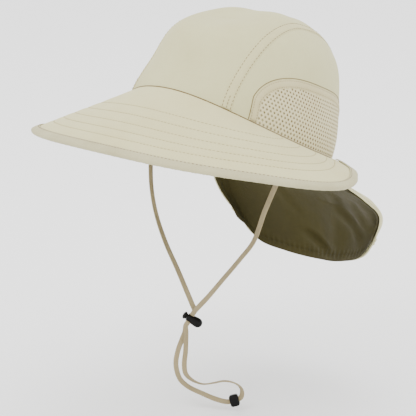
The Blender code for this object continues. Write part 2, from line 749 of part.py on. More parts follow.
def cord_bead(collection, cutters):
    """The block that closes the cord's lower loop, with a slot that the cord runs through."""
    axis = Vector(BEAD_AXIS).normalized()
    face = Vector(LOCK_FACE)
    face = (face - axis * face.dot(axis)).normalized()
    frame = Matrix((face, axis.cross(face), axis)).transposed().to_4x4()
    frame.translation = Vector(BEAD_CENTRE_MM) * 0.001
    bpy.ops.mesh.primitive_cube_add(size=1.0)
    bead = bpy.context.active_object
    bead.name = "cord_bead"
    for owner in bead.users_collection:
        owner.objects.unlink(bead)
    collection.objects.link(bead)
    bead.data.transform(Matrix.Diagonal((*BEAD_SIZE, 1.0)))
    bead.data.materials.append(material("cord_bead", BLACK_PLASTIC))
    bead.matrix_world = frame
    bevel = bead.modifiers.new("edges", "BEVEL")
    bevel.width = min(BEAD_SIZE) * BEAD_ROUND
    bevel.segments = 1
    bpy.ops.mesh.primitive_cube_add(size=1.0)
    cutter = bpy.context.active_object
    cutter.name = "bead_slot"
    for owner in cutter.users_collection:
        owner.objects.unlink(cutter)
    cutters.objects.link(cutter)
    cutter.hide_render = True
    cutter.display_type = "WIRE"
    cutter.matrix_world = frame @ Matrix.Diagonal((BEAD_SLOT[1], BEAD_SLOT[0], BEAD_SIZE[2] * 2, 1.0))
    cut(bead, cutter)


def build():
    for old in list(bpy.data.objects):
        bpy.data.objects.remove(old, do_unlink=True)
    hat = bpy.data.collections.new("sport_hat")
    cutters = bpy.data.collections.new("cutters")
    bpy.context.scene.collection.children.link(hat)
    bpy.context.scene.collection.children.link(cutters)
    crown_centre_panel(hat)
    crown_side_panels(hat)
    mesh_panels(hat)
    seam_bands(hat)
    mesh_trims(hat)
    brim(hat)
    brim_binding(hat)
    cape(hat)
    chin_cord(hat)
    cord_lock(hat, cutters)
    cord_bead(hat, cutters)


build()
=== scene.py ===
"""The looks of the sport hat: cloth, mesh, stitches, lace and lock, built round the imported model.

Metres, in the model's own frame: +Z up, the wearer faces -Y. The forms repeat the model's source.
"""
import math

import bmesh
import bpy
import numpy as np
from mathutils import Matrix, Vector

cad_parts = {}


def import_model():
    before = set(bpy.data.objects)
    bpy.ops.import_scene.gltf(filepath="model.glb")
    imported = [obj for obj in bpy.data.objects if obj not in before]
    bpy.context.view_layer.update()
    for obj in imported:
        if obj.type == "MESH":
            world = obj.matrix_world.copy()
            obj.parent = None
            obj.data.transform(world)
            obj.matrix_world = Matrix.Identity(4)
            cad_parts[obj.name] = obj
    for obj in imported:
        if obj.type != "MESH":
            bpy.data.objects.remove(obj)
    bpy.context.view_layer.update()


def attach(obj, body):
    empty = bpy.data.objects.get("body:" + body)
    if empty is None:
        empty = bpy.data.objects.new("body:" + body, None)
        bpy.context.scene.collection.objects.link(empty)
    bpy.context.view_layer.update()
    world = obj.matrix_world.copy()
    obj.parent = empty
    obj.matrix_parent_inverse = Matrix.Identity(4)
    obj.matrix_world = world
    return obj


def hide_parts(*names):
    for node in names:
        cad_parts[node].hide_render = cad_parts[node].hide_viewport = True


# Head opening and crown
OPENING_FRONT = 0.1002
OPENING_BACK = 0.1026
OPENING_HALF_WIDTH = 0.0822
CROWN_HEIGHT = 0.0999
CROWN_SQUARENESS = 2.2
PITCH = math.radians(21.3)
CROWN_WALL = 0.0015
CROWN_TURN_IN = 0.0065
PIECE_GAP = 0.0003
JOINT_GAP = 0.0004

# Trims that lie on the crown
TRIM_WIDTH = 0.0060
TRIM_OVERLAP = 0.0005
TRIM_END_CLEARANCE = 0.0010

# Bill
BRIM_REACH = 0.088
BRIM_DROP = 0.0392
BRIM_THICKNESS = 0.0017
BRIM_BOW = 0.0020
BRIM_END = 121.0
BINDING_LIP = 0.0070
BINDING_LIP_SHARE = 0.45

# Neck cape
CAPE_HALF_WIDTH = OPENING_HALF_WIDTH * 1.16
CAPE_FLARE = 0.034
CAPE_DROP = 0.111
CAPE_CLOTH = 0.0012
LINING_CLOTH = 0.0010
CAPE_BULGE = 0.0115
CAPE_MIDDLE_BULGE = 0.35
CAPE_BULGE_RISE = 0.8
CAPE_TOP_DROP = 0.0036
CAPE_CORNER_REACH = 0.011
CAPE_CORNER_ANGLE = 110.0

# Chin cord, lock and bead
LOCK_RADIUS = 0.0044
LOCK_MOUTH = 0.0036
LOCK_LENGTH = 0.0150
LOCK_WALL = 0.0007
STEM_CLEARANCE = 0.0002
STEM_BEVEL = 0.0003
STEM_LENGTH = 0.0104
HEAD_RADIUS = 0.0035
HEAD_LENGTH = 0.0034
PRESS_TRAVEL = 0.0009
WINDOW_START = 0.0005
WINDOW_LENGTH = 0.0048
WINDOW_WIDTH = 0.0044
STEM_WINDOW_MARGIN = 0.0001
BEAD_SIZE = (0.0080, 0.0110, 0.0085)
BEAD_SLOT = (0.0054, 0.0030)

# Elevation above the opening (degrees), then the crown's reach there as shares of the unit dome
CROWN_FORM = (
    # elevation, front, side, back
    (-30.0, 0.93, 1.07, 0.96),
    (0.0, 0.93, 1.03, 0.95),
    (22.0, 0.88, 1.02, 0.98),
    (44.0, 0.96, 1.09, 1.11),
    (66.0, 0.92, 1.07, 1.12),
    (90.0, 1.00, 1.00, 1.00),
)
# The seam with the bill waves round the opening: cosine terms of its elevation in degrees
RIM_WAVE = (-2.1, 4.5, 2.8, 0.25)

# Angle along the middle of the crown from the front (degrees), then the two stitched lines of the
# band that joins the middle panel to the side panels, as tangents from the middle plane
BAND_LINES = (
    # angle, front line, rear line
    (0.0, 0.805, 1.020),
    (30.0, 0.780, 0.990),
    (60.0, 0.705, 0.880),
    (90.0, 0.556, 0.699),
    (120.0, 0.400, 0.515),
    (150.0, 0.335, 0.440),
    (182.0, 0.315, 0.420),
)
# Vent: middle, half span and height in degrees round and above the seam, and the arch's exponent
VENT_MIDDLE = 102.0
VENT_HALF_SPAN = 48.0
VENT_HEIGHT = 31.0
VENT_POWER = 2.6
VENT_SIDE = 0.97

# Angle round the opening (degrees), then the bill's reach and drop there as shares of its sizes
BRIM_FORM = (
    # angle, reach, drop
    (0.0, 0.932, 1.000),
    (25.0, 0.955, 0.930),
    (50.0, 0.995, 0.775),
    (75.0, 0.920, 0.665),
    (95.0, 0.555, 0.375),
    (110.0, 0.268, 0.218),
    (121.0, 0.080, 0.060),
)
# Cape edges: shares of the half width, of the flare behind the opening and of the drop
CAPE_HEM = (
    # across, back, down
    (-0.825, 0.15, 0.715),
    (-0.620, 0.44, 0.920),
    (-0.340, 0.76, 0.990),
    (0.010, 0.94, 1.010),
    (0.370, 0.85, 0.965),
    (0.650, 0.65, 0.865),
    (0.865, 0.41, 0.670),
)
CAPE_SIDE_FAR = (
    # across, back, down
    (-1.000, -1.41, 0.045),
    (-0.980, -0.68, 0.215),
    (-0.950, -0.21, 0.490),
)
CAPE_SIDE_NEAR = (
    # across, back, down
    (1.000, -1.44, 0.055),
    (1.000, -0.62, 0.240),
    (0.970, 0.18, 0.437),
)
# Soft folds of the cape: place across, width, outward depth (m), and how far down they start
CAPE_FOLDS = (
    # across, width, depth, start
    (0.10, 0.07, 0.0035, 0.10),
    (0.33, 0.09, -0.0030, 0.25),
    (0.62, 0.05, -0.0040, 0.45),
    (0.80, 0.06, -0.0045, 0.05),
    (0.92, 0.07, 0.0050, 0.20),
)

# Cord route in millimetres: near anchor, lock, loop and bead, lock again, far anchor
CORD_ROUTE_MM = (
    (82.7, -17.8, -5.7), (82.4, -19.2, -10.0), (80.3, -21.0, -20.0), (75.0, -25.0, -38.5),
    (67.0, -31.0, -64.0), (58.0, -35.5, -92.5), (46.0, -39.4, -109.8), (29.3, -43.6, -131.2),
    (13.6, -46.9, -150.8), (4.6, -48.6, -161.0), (-0.5, -48.8, -166.5), (-1.3, -50.5, -169.2),
    (-2.4, -52.5, -172.8), (-3.4, -54.5, -176.3), (-4.3, -56.1, -179.0), (-4.6, -55.6, -184.5),
    (-5.2, -55.0, -191.0), (-6.2, -54.6, -204.0), (-7.2, -55.3, -218.0), (-6.4, -54.4, -226.0),
    (-2.6, -50.6, -232.0), (5.0, -44.0, -236.0), (12.0, -37.0, -235.0), (19.0, -31.0, -233.0),
    (24.0, -26.0, -234.0), (29.0, -22.0, -237.0), (31.0, -20.0, -241.0), (31.2, -19.7, -246.0),
    (30.2, -20.6, -249.3), (26.2, -24.4, -251.7), (22.0, -28.4, -253.1), (15.0, -35.0, -251.0),
    (5.0, -44.0, -245.3), (-5.0, -53.0, -238.5), (-10.0, -57.5, -232.0), (-12.0, -59.5, -225.0),
    (-12.6, -60.7, -215.0), (-11.5, -58.8, -203.5), (-9.1, -56.0, -193.0), (-7.0, -54.6, -186.0),
    (-5.7, -54.6, -179.5), (-4.9, -52.9, -176.8), (-3.8, -50.9, -173.2), (-2.8, -48.9, -169.7),
    (-2.0, -47.3, -167.0), (-4.5, -48.2, -160.0), (-11.0, -48.0, -150.0), (-25.0, -45.0, -134.0),
    (-45.0, -41.0, -112.0), (-62.0, -36.0, -89.0), (-71.6, -32.0, -67.0), (-78.0, -26.5, -45.0),
    (-81.0, -22.5, -25.0), (-82.4, -19.2, -10.0), (-82.7, -17.8, -5.7),
)
LOCK_CENTRE_MM = (-3.1, -51.7, -173.0)
LOCK_AXIS = (0.702, 0.504, -0.503)
LOCK_FACE = (0.666, -0.714, 0.215)
BEAD_CENTRE_MM = (26.2, -24.4, -251.7)
BEAD_AXIS = (0.70, 0.66, 0.27)

# Looks: cloth walls, edges and stitches
CLOTH_WALL = 0.0013
MESH_WALL = 0.0012
STITCH_LENGTH = 0.0024
STITCH_PITCH = 0.0034
THREAD_RADIUS = 0.00027
THREAD_SIDES = 5
BAND_WIDTH = 0.0105
BAND_LENGTH = 0.330
BAND_STITCH_INSET = 0.0018
BAND_RISE = 0.0010
TRIM_RISE = 0.0009
FOLD_WALL = 0.0006
FOLD_EDGE = 0.0006
FOLD_SUNK = 0.0003
STITCH_GROOVE = (0.0007, 0.00035)
TRIM_GROOVE = (0.0006, 0.00030)
FINE_STITCH = (0.0016, 0.0024, 0.00018)
PLEAT_PITCH = 0.0052
PLEAT_DEPTH = 0.00028
FOOT_STEPS = 300
# Dark tubes laid in the seams at the crown's foot and outside each vent's facing: painted shadow of the
# gaps there
SEAM_SHADOW_RADIUS = 0.00050
TRIM_SEAM_SHADOW_RADIUS = 0.00035
BRIM_CLOTH = 0.0007
PUCKER_PITCH = 0.0060
PUCKER_WIDTH = 0.0016
PUCKER_DEPTH = 0.00010
TRIM_STITCH_INSET = 0.0012
MESH_PITCH = 0.0031
MESH_HOLE = 0.0013
MESH_MARGIN = 0.001
MESH_SUNK = 0.0001
MERGE_STEPS = 2e4  # in a metre: corners of the mesh in the same step are one
# Painted shade round the mesh's holes, where the hat's shaded inside shows: a brown that the cloth turns
# to at each hole's edge
PAINTED_HOLE_SHADE = (140, 122, 84)
ROW_BEND = 3.5
ROW_RISE = 0.6
ROW_GROOVES = ((0.0009, 0.00030), (0.0030, 0.00022))
ROW_STITCH_DEPTH = 0.00045
UNDER_STITCH_GAP = 0.00005
RIPPLE_ARM = 0.16
RIPPLE_PITCH = 0.0065
RIPPLE_DEPTH = 0.00006
BIND_TOP = 0.0010
BIND_STITCH_INSET = 0.0012
BIND_UV_STEP = 0.0012
BIND_BULGE = 0.15
BIND_FOLD = 0.00035
BIND_PUCKER = 0.0048
BIND_PUCKER_DEPTH = 0.00030
HEM_WIDTH = 0.0075
HEM_STITCH = 0.0065
HEM_THICKNESS = 0.0008
HEM_EDGE = 0.0006
LINING_RELIEF = 0.8
HEM_PUCKER = (0.00045, 0.0085, 0.004)
CAPE_HEM_LENGTH = 0.30
LACE_WIDTH = 0.0046
LACE_THICKNESS = 0.0015
MOUTH_BEVEL = 0.0002
BARREL_BEVEL = 0.00015
PLUNGER_BEVEL = 0.00010
BEAD_BEVEL = 0.00025

# The bill's rows of stitches: share of the way from the seam to the edge, and where a row turns
# back into the seam, in degrees
BRIM_ROWS = (
    # share, end
    (0.345, 74.0),
    (0.475, 84.0),
    (0.600, 96.0),
    (0.710, 107.0),
    (0.810, 117.0),
)

# The lace's twist along its length: share of the length and degrees
LACE_TURN = (
    # share, degrees
    (0.00, 0.0),
    (0.10, 28.0),
    (0.24, 30.0),
    (0.29, 0.0),
    (0.38, 0.0),
    (0.42, 72.0),
    (0.475, 75.0),
    (0.50, 0.0),
    (0.52, 0.0),
    (0.56, 30.0),
    (0.62, 5.0),
    (0.70, 0.0),
    (0.78, 24.0),
    (0.90, 40.0),
    (1.00, 0.0),
)

# Creases of the cape: start and end as shares across and down, then the height
CAPE_CREASES = (
    # start, end, height
    ((0.670, 0.30), (0.657, 0.50), 0.0030),
    ((0.655, 0.47), (0.813, 0.88), 0.0042),
    ((0.430, 0.76), (0.600, 0.95), 0.0034),
    ((0.830, 0.35), (0.850, 0.72), -0.0044),
    ((0.300, 0.30), (0.420, 0.62), 0.0012),
)
CREASE_WIDTH = 0.035

# Cells across the fine surfaces
CENTRE_FINE = (60, 160)
SIDE_FINE = (110, 36)
BAND_FINE = (260, 20)
TRIM_FINE = (90, 16)
BRIM_FINE = (200, 130)
BRIM_UNDER_FINE = (120, 24)
BINDING_FINE = 860
CAPE_FINE = (170, 100)
LACE_STEPS = 420
LACE_SIDES = 16
TURN_SIDES = 48

# Shading, with the noises' repeats in a metre
CLOTH_SHINE = {"Roughness": 0.8, "Sheen Weight": 0.08, "Sheen Roughness": 0.5,
               "Specular IOR Level": 0.25}
DRIFT_SCALE = 22.0
SPECK_SCALE = 900.0
CREASE_SCALE = 45.0
PLASTIC_GRAIN = 2500.0
GRAIN_DEPTH = 0.00004

# View and light
HEAD_MIDDLE = (0.0, 0.0, 0.0)
BELOW = (0.0, -0.05, -1.0)
ABOVE = (0.0, -0.05, 1.0)
BEHIND = (0.0, 0.6, -0.1)
VIEW_AZIMUTH = 43.78
VIEW_ELEVATION = 15.34
VIEW_AIM = (-0.0220, -0.0770)
VIEW_DISTANCE = 1.5
VIEW_FOCAL = 2.6957
SENSOR = 36.0
LIGHT_AIM = (0.0, 0.0, -0.05)
FLOOR_SIZE = 12.0
FLOOR_SHADE = (0.92, 0.92, 0.92, 1.0)
FLOOR_HEIGHT = -0.262
SURROUND = 2.4
KEY_LIGHT = 20.0
FILL_LIGHT = 2.0
TOP_LIGHT = 8.0


def rows(table, column):
    """The first column of a table and the named one, as arrays."""
    data = np.array(table)
    return data[:, 0], data[:, column]


def smooth(x, stations, values, flat_start=False, flat_end=False):
    """Cubic curve through the values, read at x and held beyond the ends."""
    x = np.clip(x, stations[0], stations[-1])
    rise = np.diff(values) / np.diff(stations)
    slope = np.empty_like(values)
    slope[1:-1] = (rise[:-1] + rise[1:]) / 2
    slope[0] = 0.0 if flat_start else rise[0]
    slope[-1] = 0.0 if flat_end else rise[-1]
    cell = np.clip(np.searchsorted(stations, x, side="right") - 1, 0, len(stations) - 2)
    width = stations[cell + 1] - stations[cell]
    t = (x - stations[cell]) / width
    return (values[cell] * (2 * t**3 - 3 * t**2 + 1) + values[cell + 1] * (3 * t**2 - 2 * t**3)
            + width * slope[cell] * (t**3 - 2 * t**2 + t) + width * slope[cell + 1] * (t**3 - t**2))


def lengths(line):
    """Length along a line of points, at each of them."""
    return np.concatenate([[0.0], np.cumsum(np.linalg.norm(np.diff(line, axis=0), axis=1))])


def through(points, shares):
    """Points of a smooth curve through a list of points, at shares of its length."""
    points = np.array(points, dtype=float)
    chord = lengths(points)
    at = np.asarray(shares) * chord[-1]
    return np.stack([smooth(at, chord, points[:, k]) for k in range(3)], axis=-1)


def unit(vectors):
    return vectors / np.linalg.norm(vectors, axis=-1, keepdims=True)


def direction(azimuth, elevation):
    """Unit direction in the opening's plane; angles in degrees, azimuth 0 at the front."""
    a = np.radians(azimuth)
    e = np.radians(elevation)
    return np.stack([np.cos(e) * np.sin(a), -np.cos(e) * np.cos(a), np.sin(e)], axis=-1)


def angles(way):
    """Azimuth and elevation in degrees of directions in the opening's plane."""
    way = unit(way)
    return (np.degrees(np.arctan2(way[..., 0], -way[..., 1])),
            np.degrees(np.arcsin(np.clip(way[..., 2], -1, 1))))


def pitched(points):
    """From the opening's plane to the hat as it is worn."""
    c = math.cos(PITCH)
    s = math.sin(PITCH)
    x, y, z = points[..., 0], points[..., 1], points[..., 2]
    return np.stack([x, y * c + z * s, -y * s + z * c], axis=-1)


def dome(way):
    """The crown's inner surface in each direction."""
    azimuth, elevation = angles(way)
    front, side, back = (smooth(elevation, *rows(CROWN_FORM, k), flat_end=True) for k in (1, 2, 3))
    a = np.radians(azimuth)
    power = 2 + (CROWN_SQUARENESS - 2) * np.cos(np.radians(elevation)) ** 2
    along = np.where(np.cos(a) > 0, front, back)
    reach = ((np.abs(np.cos(a)) / along) ** power + (np.abs(np.sin(a)) / side) ** power) ** (-1 / power)
    shape = direction(azimuth, elevation) * reach[..., None]
    length = np.where(shape[..., 1] < 0, OPENING_FRONT, OPENING_BACK)
    return pitched(np.stack([shape[..., 0] * OPENING_HALF_WIDTH, shape[..., 1] * length,
                             shape[..., 2] * CROWN_HEIGHT], axis=-1))


def crown(way, lift=0.0):
    """The crown's surface in each direction, lifted along its normal."""
    way = unit(np.asarray(way, dtype=float))
    if not lift:
        return dome(way)
    step = 1e-3
    side = np.cross(way, np.array([0.31, 0.17, 0.93]))
    side = unit(side)
    other = np.cross(way, side)
    across = dome(unit(way + step * side)) - dome(unit(way - step * side))
    along = dome(unit(way + step * other)) - dome(unit(way - step * other))
    return dome(way) + lift * unit(np.cross(across, along))


def rim_elevation(azimuth):
    a = np.radians(azimuth)
    return sum(term * np.cos(k * a) for k, term in enumerate(RIM_WAVE))


def rise_angle(length):
    """The angle in degrees that a length takes up on the crown's side."""
    return math.degrees(length / OPENING_HALF_WIDTH)


def foot_elevation(azimuth):
    """The crown's lower edge, turned in below the seam."""
    return rim_elevation(azimuth) - rise_angle(CROWN_TURN_IN)


def trim_elevation(azimuth):
    """Where trims on the crown end, just above the seam."""
    return rim_elevation(azimuth) + rise_angle(TRIM_END_CLEARANCE)


def arc_way(angle, tangent):
    """Direction at an angle along the middle of the crown and a tangent to the side."""
    a = np.radians(angle)
    tangent = tangent + np.zeros_like(a)
    return unit(np.stack([tangent, -np.cos(a), np.sin(a)], axis=-1))


def band_line(angle, name):
    """Tangent of the band's front line, rear line or middle at an angle along the crown."""
    front = smooth(angle, *rows(BAND_LINES, 1))
    rear = smooth(angle, *rows(BAND_LINES, 2))
    return {"front": front, "rear": rear, "middle": (front + rear) / 2}[name]


def arc_end(tangent_at, edge, behind):
    """Angle along the crown where a line meets an edge, searched by halving."""
    inside, outside = (90.0, 215.0) if behind else (90.0, -40.0)
    for _ in range(40):
        middle = (inside + outside) / 2
        azimuth, elevation = angles(arc_way(middle, tangent_at(middle)))
        if elevation > edge(azimuth):
            inside = middle
        else:
            outside = middle
    return (inside + outside) / 2


def vent_arch(shares, inset=0.0):
    """Azimuth and elevation of the vent's arch at shares of its half span."""
    azimuth = VENT_MIDDLE + (VENT_HALF_SPAN - inset) * shares
    rise = (VENT_HEIGHT - inset) * (1 - np.abs(shares) ** VENT_POWER) ** (1 / VENT_POWER)
    return azimuth, rim_elevation(azimuth) + rise


def mirrored(points):
    return points * np.array([-1.0, 1.0, 1.0])


def brim_seam(azimuth):
    """Where the bill's upper face starts on the crown's outer face, and the level way out from it."""
    lift = CROWN_WALL + PIECE_GAP
    step = 0.05
    seam = crown(direction(azimuth, rim_elevation(azimuth)), lift)
    after = crown(direction(azimuth + step, rim_elevation(azimuth + step)), lift)
    before = crown(direction(azimuth - step, rim_elevation(azimuth - step)), lift)
    run = after - before
    out = unit(np.stack([run[..., 1], -run[..., 0], np.zeros_like(run[..., 0])], axis=-1))
    return seam, out


def brim_sizes(azimuth):
    """The bill's level reach and its drop at an azimuth."""
    turn = np.abs(azimuth)
    reach = BRIM_REACH * smooth(turn, *rows(BRIM_FORM, 1), flat_start=True)
    drop = BRIM_DROP * smooth(turn, *rows(BRIM_FORM, 2), flat_start=True)
    return reach, drop


def brim_face(azimuth, share):
    """A point of the bill's upper face, at a share of the way from the seam to the edge."""
    seam, out = brim_seam(azimuth)
    reach, drop = brim_sizes(azimuth)
    point = seam + out * (reach * share)[..., None]
    point[..., 2] += BRIM_BOW * 4 * share * (1 - share) * reach / BRIM_REACH - drop * share
    return point


def brim_grids(cells):
    """The bill's upper and lower faces, on the same cells."""
    turn = np.linspace(-BRIM_END, BRIM_END, cells[0] + 1)
    share = np.linspace(0, 1, cells[1] + 1)
    azimuth, across = np.meshgrid(turn, share, indexing="ij")
    upper = brim_face(azimuth, across)
    step = 1e-3
    run = brim_face(azimuth + step, across) - brim_face(azimuth - step, across)
    reach = brim_face(azimuth, across + step) - brim_face(azimuth, across - step)
    normal = unit(np.cross(reach, run))
    normal *= np.sign(normal[..., 2:])
    under = rim_elevation(turn) - rise_angle(BRIM_THICKNESS)
    fall = crown(direction(turn, under), CROWN_WALL + PIECE_GAP) - upper[:, 0]
    down = unit(unit(fall)[:, None] * (1 - across[..., None]) - normal * across[..., None])
    return upper, upper + down * BRIM_THICKNESS


def cape_top(share):
    """The cape's upper edge: round the back of the crown, then out under the bill's rear corners."""
    turn = 180 - (180 - CAPE_CORNER_ANGLE) * np.abs(share)
    low = rim_elevation(turn) - rise_angle(CAPE_TOP_DROP)
    point = crown(direction(turn, low), CROWN_WALL + PIECE_GAP * 1.5)
    out = brim_seam(turn)[1]
    reach, drop = brim_sizes(turn)
    away = CAPE_CORNER_REACH * np.clip((BRIM_END - turn) / (BRIM_END - CAPE_CORNER_ANGLE), 0, 1)
    point = point + out * away[..., None]
    point[..., 2] -= drop * away / reach
    return np.where((share < 0)[..., None], mirrored(point), point)


def cape_edge(table):
    """Points of a cape edge from its table of shares."""
    back = dome(direction(180.0, rim_elevation(180.0)))
    data = np.array(table)
    return np.stack([data[:, 0] * CAPE_HALF_WIDTH, back[1] + data[:, 1] * CAPE_FLARE,
                     back[2] - data[:, 2] * CAPE_DROP], axis=-1)


def cape_surface(across, down):
    """The cape between its four edges, blown out and folded; across and down run from 0 to 1."""
    hem = cape_edge(CAPE_HEM)
    far = np.vstack([cape_top(np.array([-1.0])), cape_edge(CAPE_SIDE_FAR), hem[:1]])
    near = np.vstack([cape_top(np.array([1.0])), cape_edge(CAPE_SIDE_NEAR), hem[-1:]])
    u = across[..., None]
    v = down[..., None]
    top_line = cape_top(2 * across - 1)
    hem_line = through(hem, across)
    far_line = through(far, down)
    near_line = through(near, down)
    corners = ((1 - u) * (1 - v) * far[0] + u * (1 - v) * near[0]
               + (1 - u) * v * far[-1] + u * v * near[-1])
    surface = (1 - v) * top_line + v * hem_line + (1 - u) * far_line + u * near_line - corners
    spread = np.sin(math.pi * np.clip(across, 0, 1))
    fall = np.sin(math.pi * np.clip(down, 0, 1) ** CAPE_BULGE_RISE)
    push = CAPE_BULGE * (CAPE_MIDDLE_BULGE + (1 - CAPE_MIDDLE_BULGE) * (1 - spread**2)) * fall
    push = push * np.clip(spread * 4, 0, 1)
    for place, width, depth, start in CAPE_FOLDS:
        ramp = np.clip((down - start) / (1 - start), 0, 1)
        along = np.sin(math.pi * ramp**CAPE_BULGE_RISE)
        push = push + depth * np.exp(-(((across - place) / width) ** 2)) * along
    out = surface - np.array([0.0, OPENING_BACK / 4, 0.0])
    out[..., 2] = 0.0
    return surface + unit(out) * push[..., None]


def srgb(red, green, blue):
    """A colour given as the 0 to 255 values of a picture, as the shader's linear values."""
    levels = [value / 255 for value in (red, green, blue)]
    return tuple(v / 12.92 if v <= 0.04045 else ((v + 0.055) / 1.055) ** 2.4 for v in levels) + (1.0,)


def link(tree, source, target):
    tree.links.new(source, target)


def node(tree, kind, **values):
    made = tree.nodes.new(kind)
    for name, value in values.items():
        made.inputs[name].default_value = value
    return made


def math_node(tree, operation, first, second):
    made = tree.nodes.new("ShaderNodeMath")
    made.operation = operation
    for socket, value in zip(made.inputs, (first, second)):
        if isinstance(value, (int, float)):
            socket.default_value = value
        else:
            link(tree, value, socket)
    return made.outputs[0]


def noise(tree, place, scale, detail=2.0, roughness=0.5):
    made = node(tree, "ShaderNodeTexNoise", Scale=scale, Detail=detail, Roughness=roughness)
    link(tree, place, made.inputs["Vector"])
    return made.outputs["Fac"]


def weave_height(tree, yarn, slanted):
    """Height of a plain weave read from the piece's own cloth coordinates, in metres."""
    uv = tree.nodes.new("ShaderNodeUVMap")
    uv.uv_map = "cloth"
    waves = []
    for turn in (0.0, math.pi / 2):
        place = node(tree, "ShaderNodeMapping")
        place.inputs["Rotation"].default_value = (0.0, 0.0, turn + (math.pi / 4 if slanted else 0.0))
        link(tree, uv.outputs["UV"], place.inputs["Vector"])
        wave = node(tree, "ShaderNodeTexWave", Scale=0.314 / yarn, Distortion=0.6, Detail=1.0)
        wave.wave_profile = "SIN"
        link(tree, place.outputs["Vector"], wave.inputs["Vector"])
        waves.append(wave.outputs["Fac"])
    return math_node(tree, "MAXIMUM", waves[0], waves[1])


def new_material(name, values):
    """A material with its shader's inputs set, its node tree and its shader."""
    made = bpy.data.materials.new(name)
    made.use_nodes = True
    shader = made.node_tree.nodes["Principled BSDF"]
    for key, value in values.items():
        shader.inputs[key].default_value = value
    return made, made.node_tree, shader


def bump(tree, height, distance, strength=1.0, over=None):
    """The normal of a relief, on top of another relief when one is given."""
    made = node(tree, "ShaderNodeBump", Strength=strength, Distance=distance)
    link(tree, height, made.inputs["Height"])
    if over is not None:
        link(tree, over, made.inputs["Normal"])
    return made.outputs["Normal"]


def cloth_material(name, colour, tint, yarn=0.00030, depth=0.00005, slanted=False, crease=0.0006,
                   painted_shade_at_holes=None):
    """Woven cloth: two shades that drift over the piece, yarns in relief, faint creases and, when a colour
    is given, painted shade round the mesh's holes.
    """
    made, tree, shader = new_material(name, CLOTH_SHINE)
    place = tree.nodes.new("ShaderNodeTexCoord").outputs["Object"]
    weave = weave_height(tree, yarn, slanted)
    drift = noise(tree, place, DRIFT_SCALE, 3.0, 0.6)
    speck = noise(tree, place, SPECK_SCALE, 2.0, 0.7)
    drift = math_node(tree, "MULTIPLY", drift, 0.7)
    speck = math_node(tree, "MULTIPLY", speck, 0.3)
    share = math_node(tree, "ADD", drift, speck)
    share = math_node(tree, "ADD", share, math_node(tree, "MULTIPLY", weave, -0.15))
    ramp = tree.nodes.new("ShaderNodeValToRGB")
    ramp.color_ramp.elements[0].position = 0.25
    ramp.color_ramp.elements[1].position = 0.75
    ramp.color_ramp.elements[0].color = srgb(*colour)
    ramp.color_ramp.elements[1].color = srgb(*tint)
    link(tree, share, ramp.inputs["Fac"])
    shown = ramp.outputs["Color"]
    # Painted shade at the mesh's holes: the colour turns towards a brown near each hole's edge, where the
    # mesh's mask is 1
    if painted_shade_at_holes:
        near = tree.nodes.new("ShaderNodeAttribute")
        near.attribute_name = "painted_shade_at_holes"
        mix = tree.nodes.new("ShaderNodeMixRGB")
        mix.inputs["Color2"].default_value = srgb(*painted_shade_at_holes)
        link(tree, math_node(tree, "POWER", near.outputs["Fac"], 6.0), mix.inputs["Fac"])
        link(tree, shown, mix.inputs["Color1"])
        shown = mix.outputs["Color"]
    link(tree, shown, shader.inputs["Base Color"])
    wrinkle = noise(tree, place, CREASE_SCALE, 4.0, 0.55)
    creases = bump(tree, wrinkle, crease)
    link(tree, bump(tree, weave, depth, over=creases), shader.inputs["Normal"])
    return made


def plastic_material(name, colour, roughness):
    """Moulded plastic with a faint spark texture."""
    made, tree, shader = new_material(name, {"Base Color": srgb(*colour), "Roughness": roughness,
                                             "Specular IOR Level": 0.12})
    place = tree.nodes.new("ShaderNodeTexCoord").outputs["Object"]
    grain = noise(tree, place, PLASTIC_GRAIN, 2.0, 0.6)
    link(tree, bump(tree, grain, GRAIN_DEPTH, 0.5), shader.inputs["Normal"])
    return made


def make_materials():
    return {
        "crown": cloth_material("crown_cloth", (191, 187, 142), (181, 175, 128), crease=0.0010),
        "band": cloth_material("band_cloth", (193, 187, 142), (177, 169, 122), slanted=True),
        # Mesh cloth, with painted shade round its holes
        "mesh": cloth_material("vent_mesh", (200, 192, 152), (190, 179, 138), 0.00035, 0.00008,
                               painted_shade_at_holes=PAINTED_HOLE_SHADE),
        "trim": cloth_material("trim_cloth", (190, 181, 140), (172, 160, 116)),
        "brim": cloth_material("brim_cloth", (199, 193, 146), (190, 181, 132)),
        "under": cloth_material("under_cloth", (54, 47, 20), (42, 36, 13)),
        "binding": cloth_material("binding_cloth", (180, 174, 137), (158, 150, 113), 0.00035, 0.00006,
                                  crease=0.0012),
        "cape": cloth_material("cape_cloth", (200, 195, 152), (190, 183, 138)),
        "lining": cloth_material("lining_cloth", (56, 50, 12), (40, 35, 6), crease=0.0016),
        "lace": cloth_material("lace_weave", (158, 144, 110), (132, 116, 82), 0.00060, 0.00025,
                               slanted=True),
        "thread": cloth_material("thread_twist", (168, 156, 114), (148, 134, 94), 0.00020, 0.00003),
        # Dark brown seam thread: partly the thread's own colour and partly painted shadow of the stitches;
        # it also colours the painted seam shadow lines
        "seam": cloth_material("seam_thread_and_shadow", (112, 92, 56), (92, 72, 40), 0.00020, 0.00003),
        "plastic": plastic_material("black_plastic", (6, 5, 4), 0.45),
    }


def finish_piece(piece, slot, *replaced, body="hat"):
    """Says what body a piece rides and which solids it stands for, hiding them; the slot is not used."""
    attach(piece, body)
    if replaced:
        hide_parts(*replaced)


def placed(name, data):
    """A new object in the scene."""
    made = bpy.data.objects.new(name, data)
    bpy.context.scene.collection.objects.link(made)
    return made


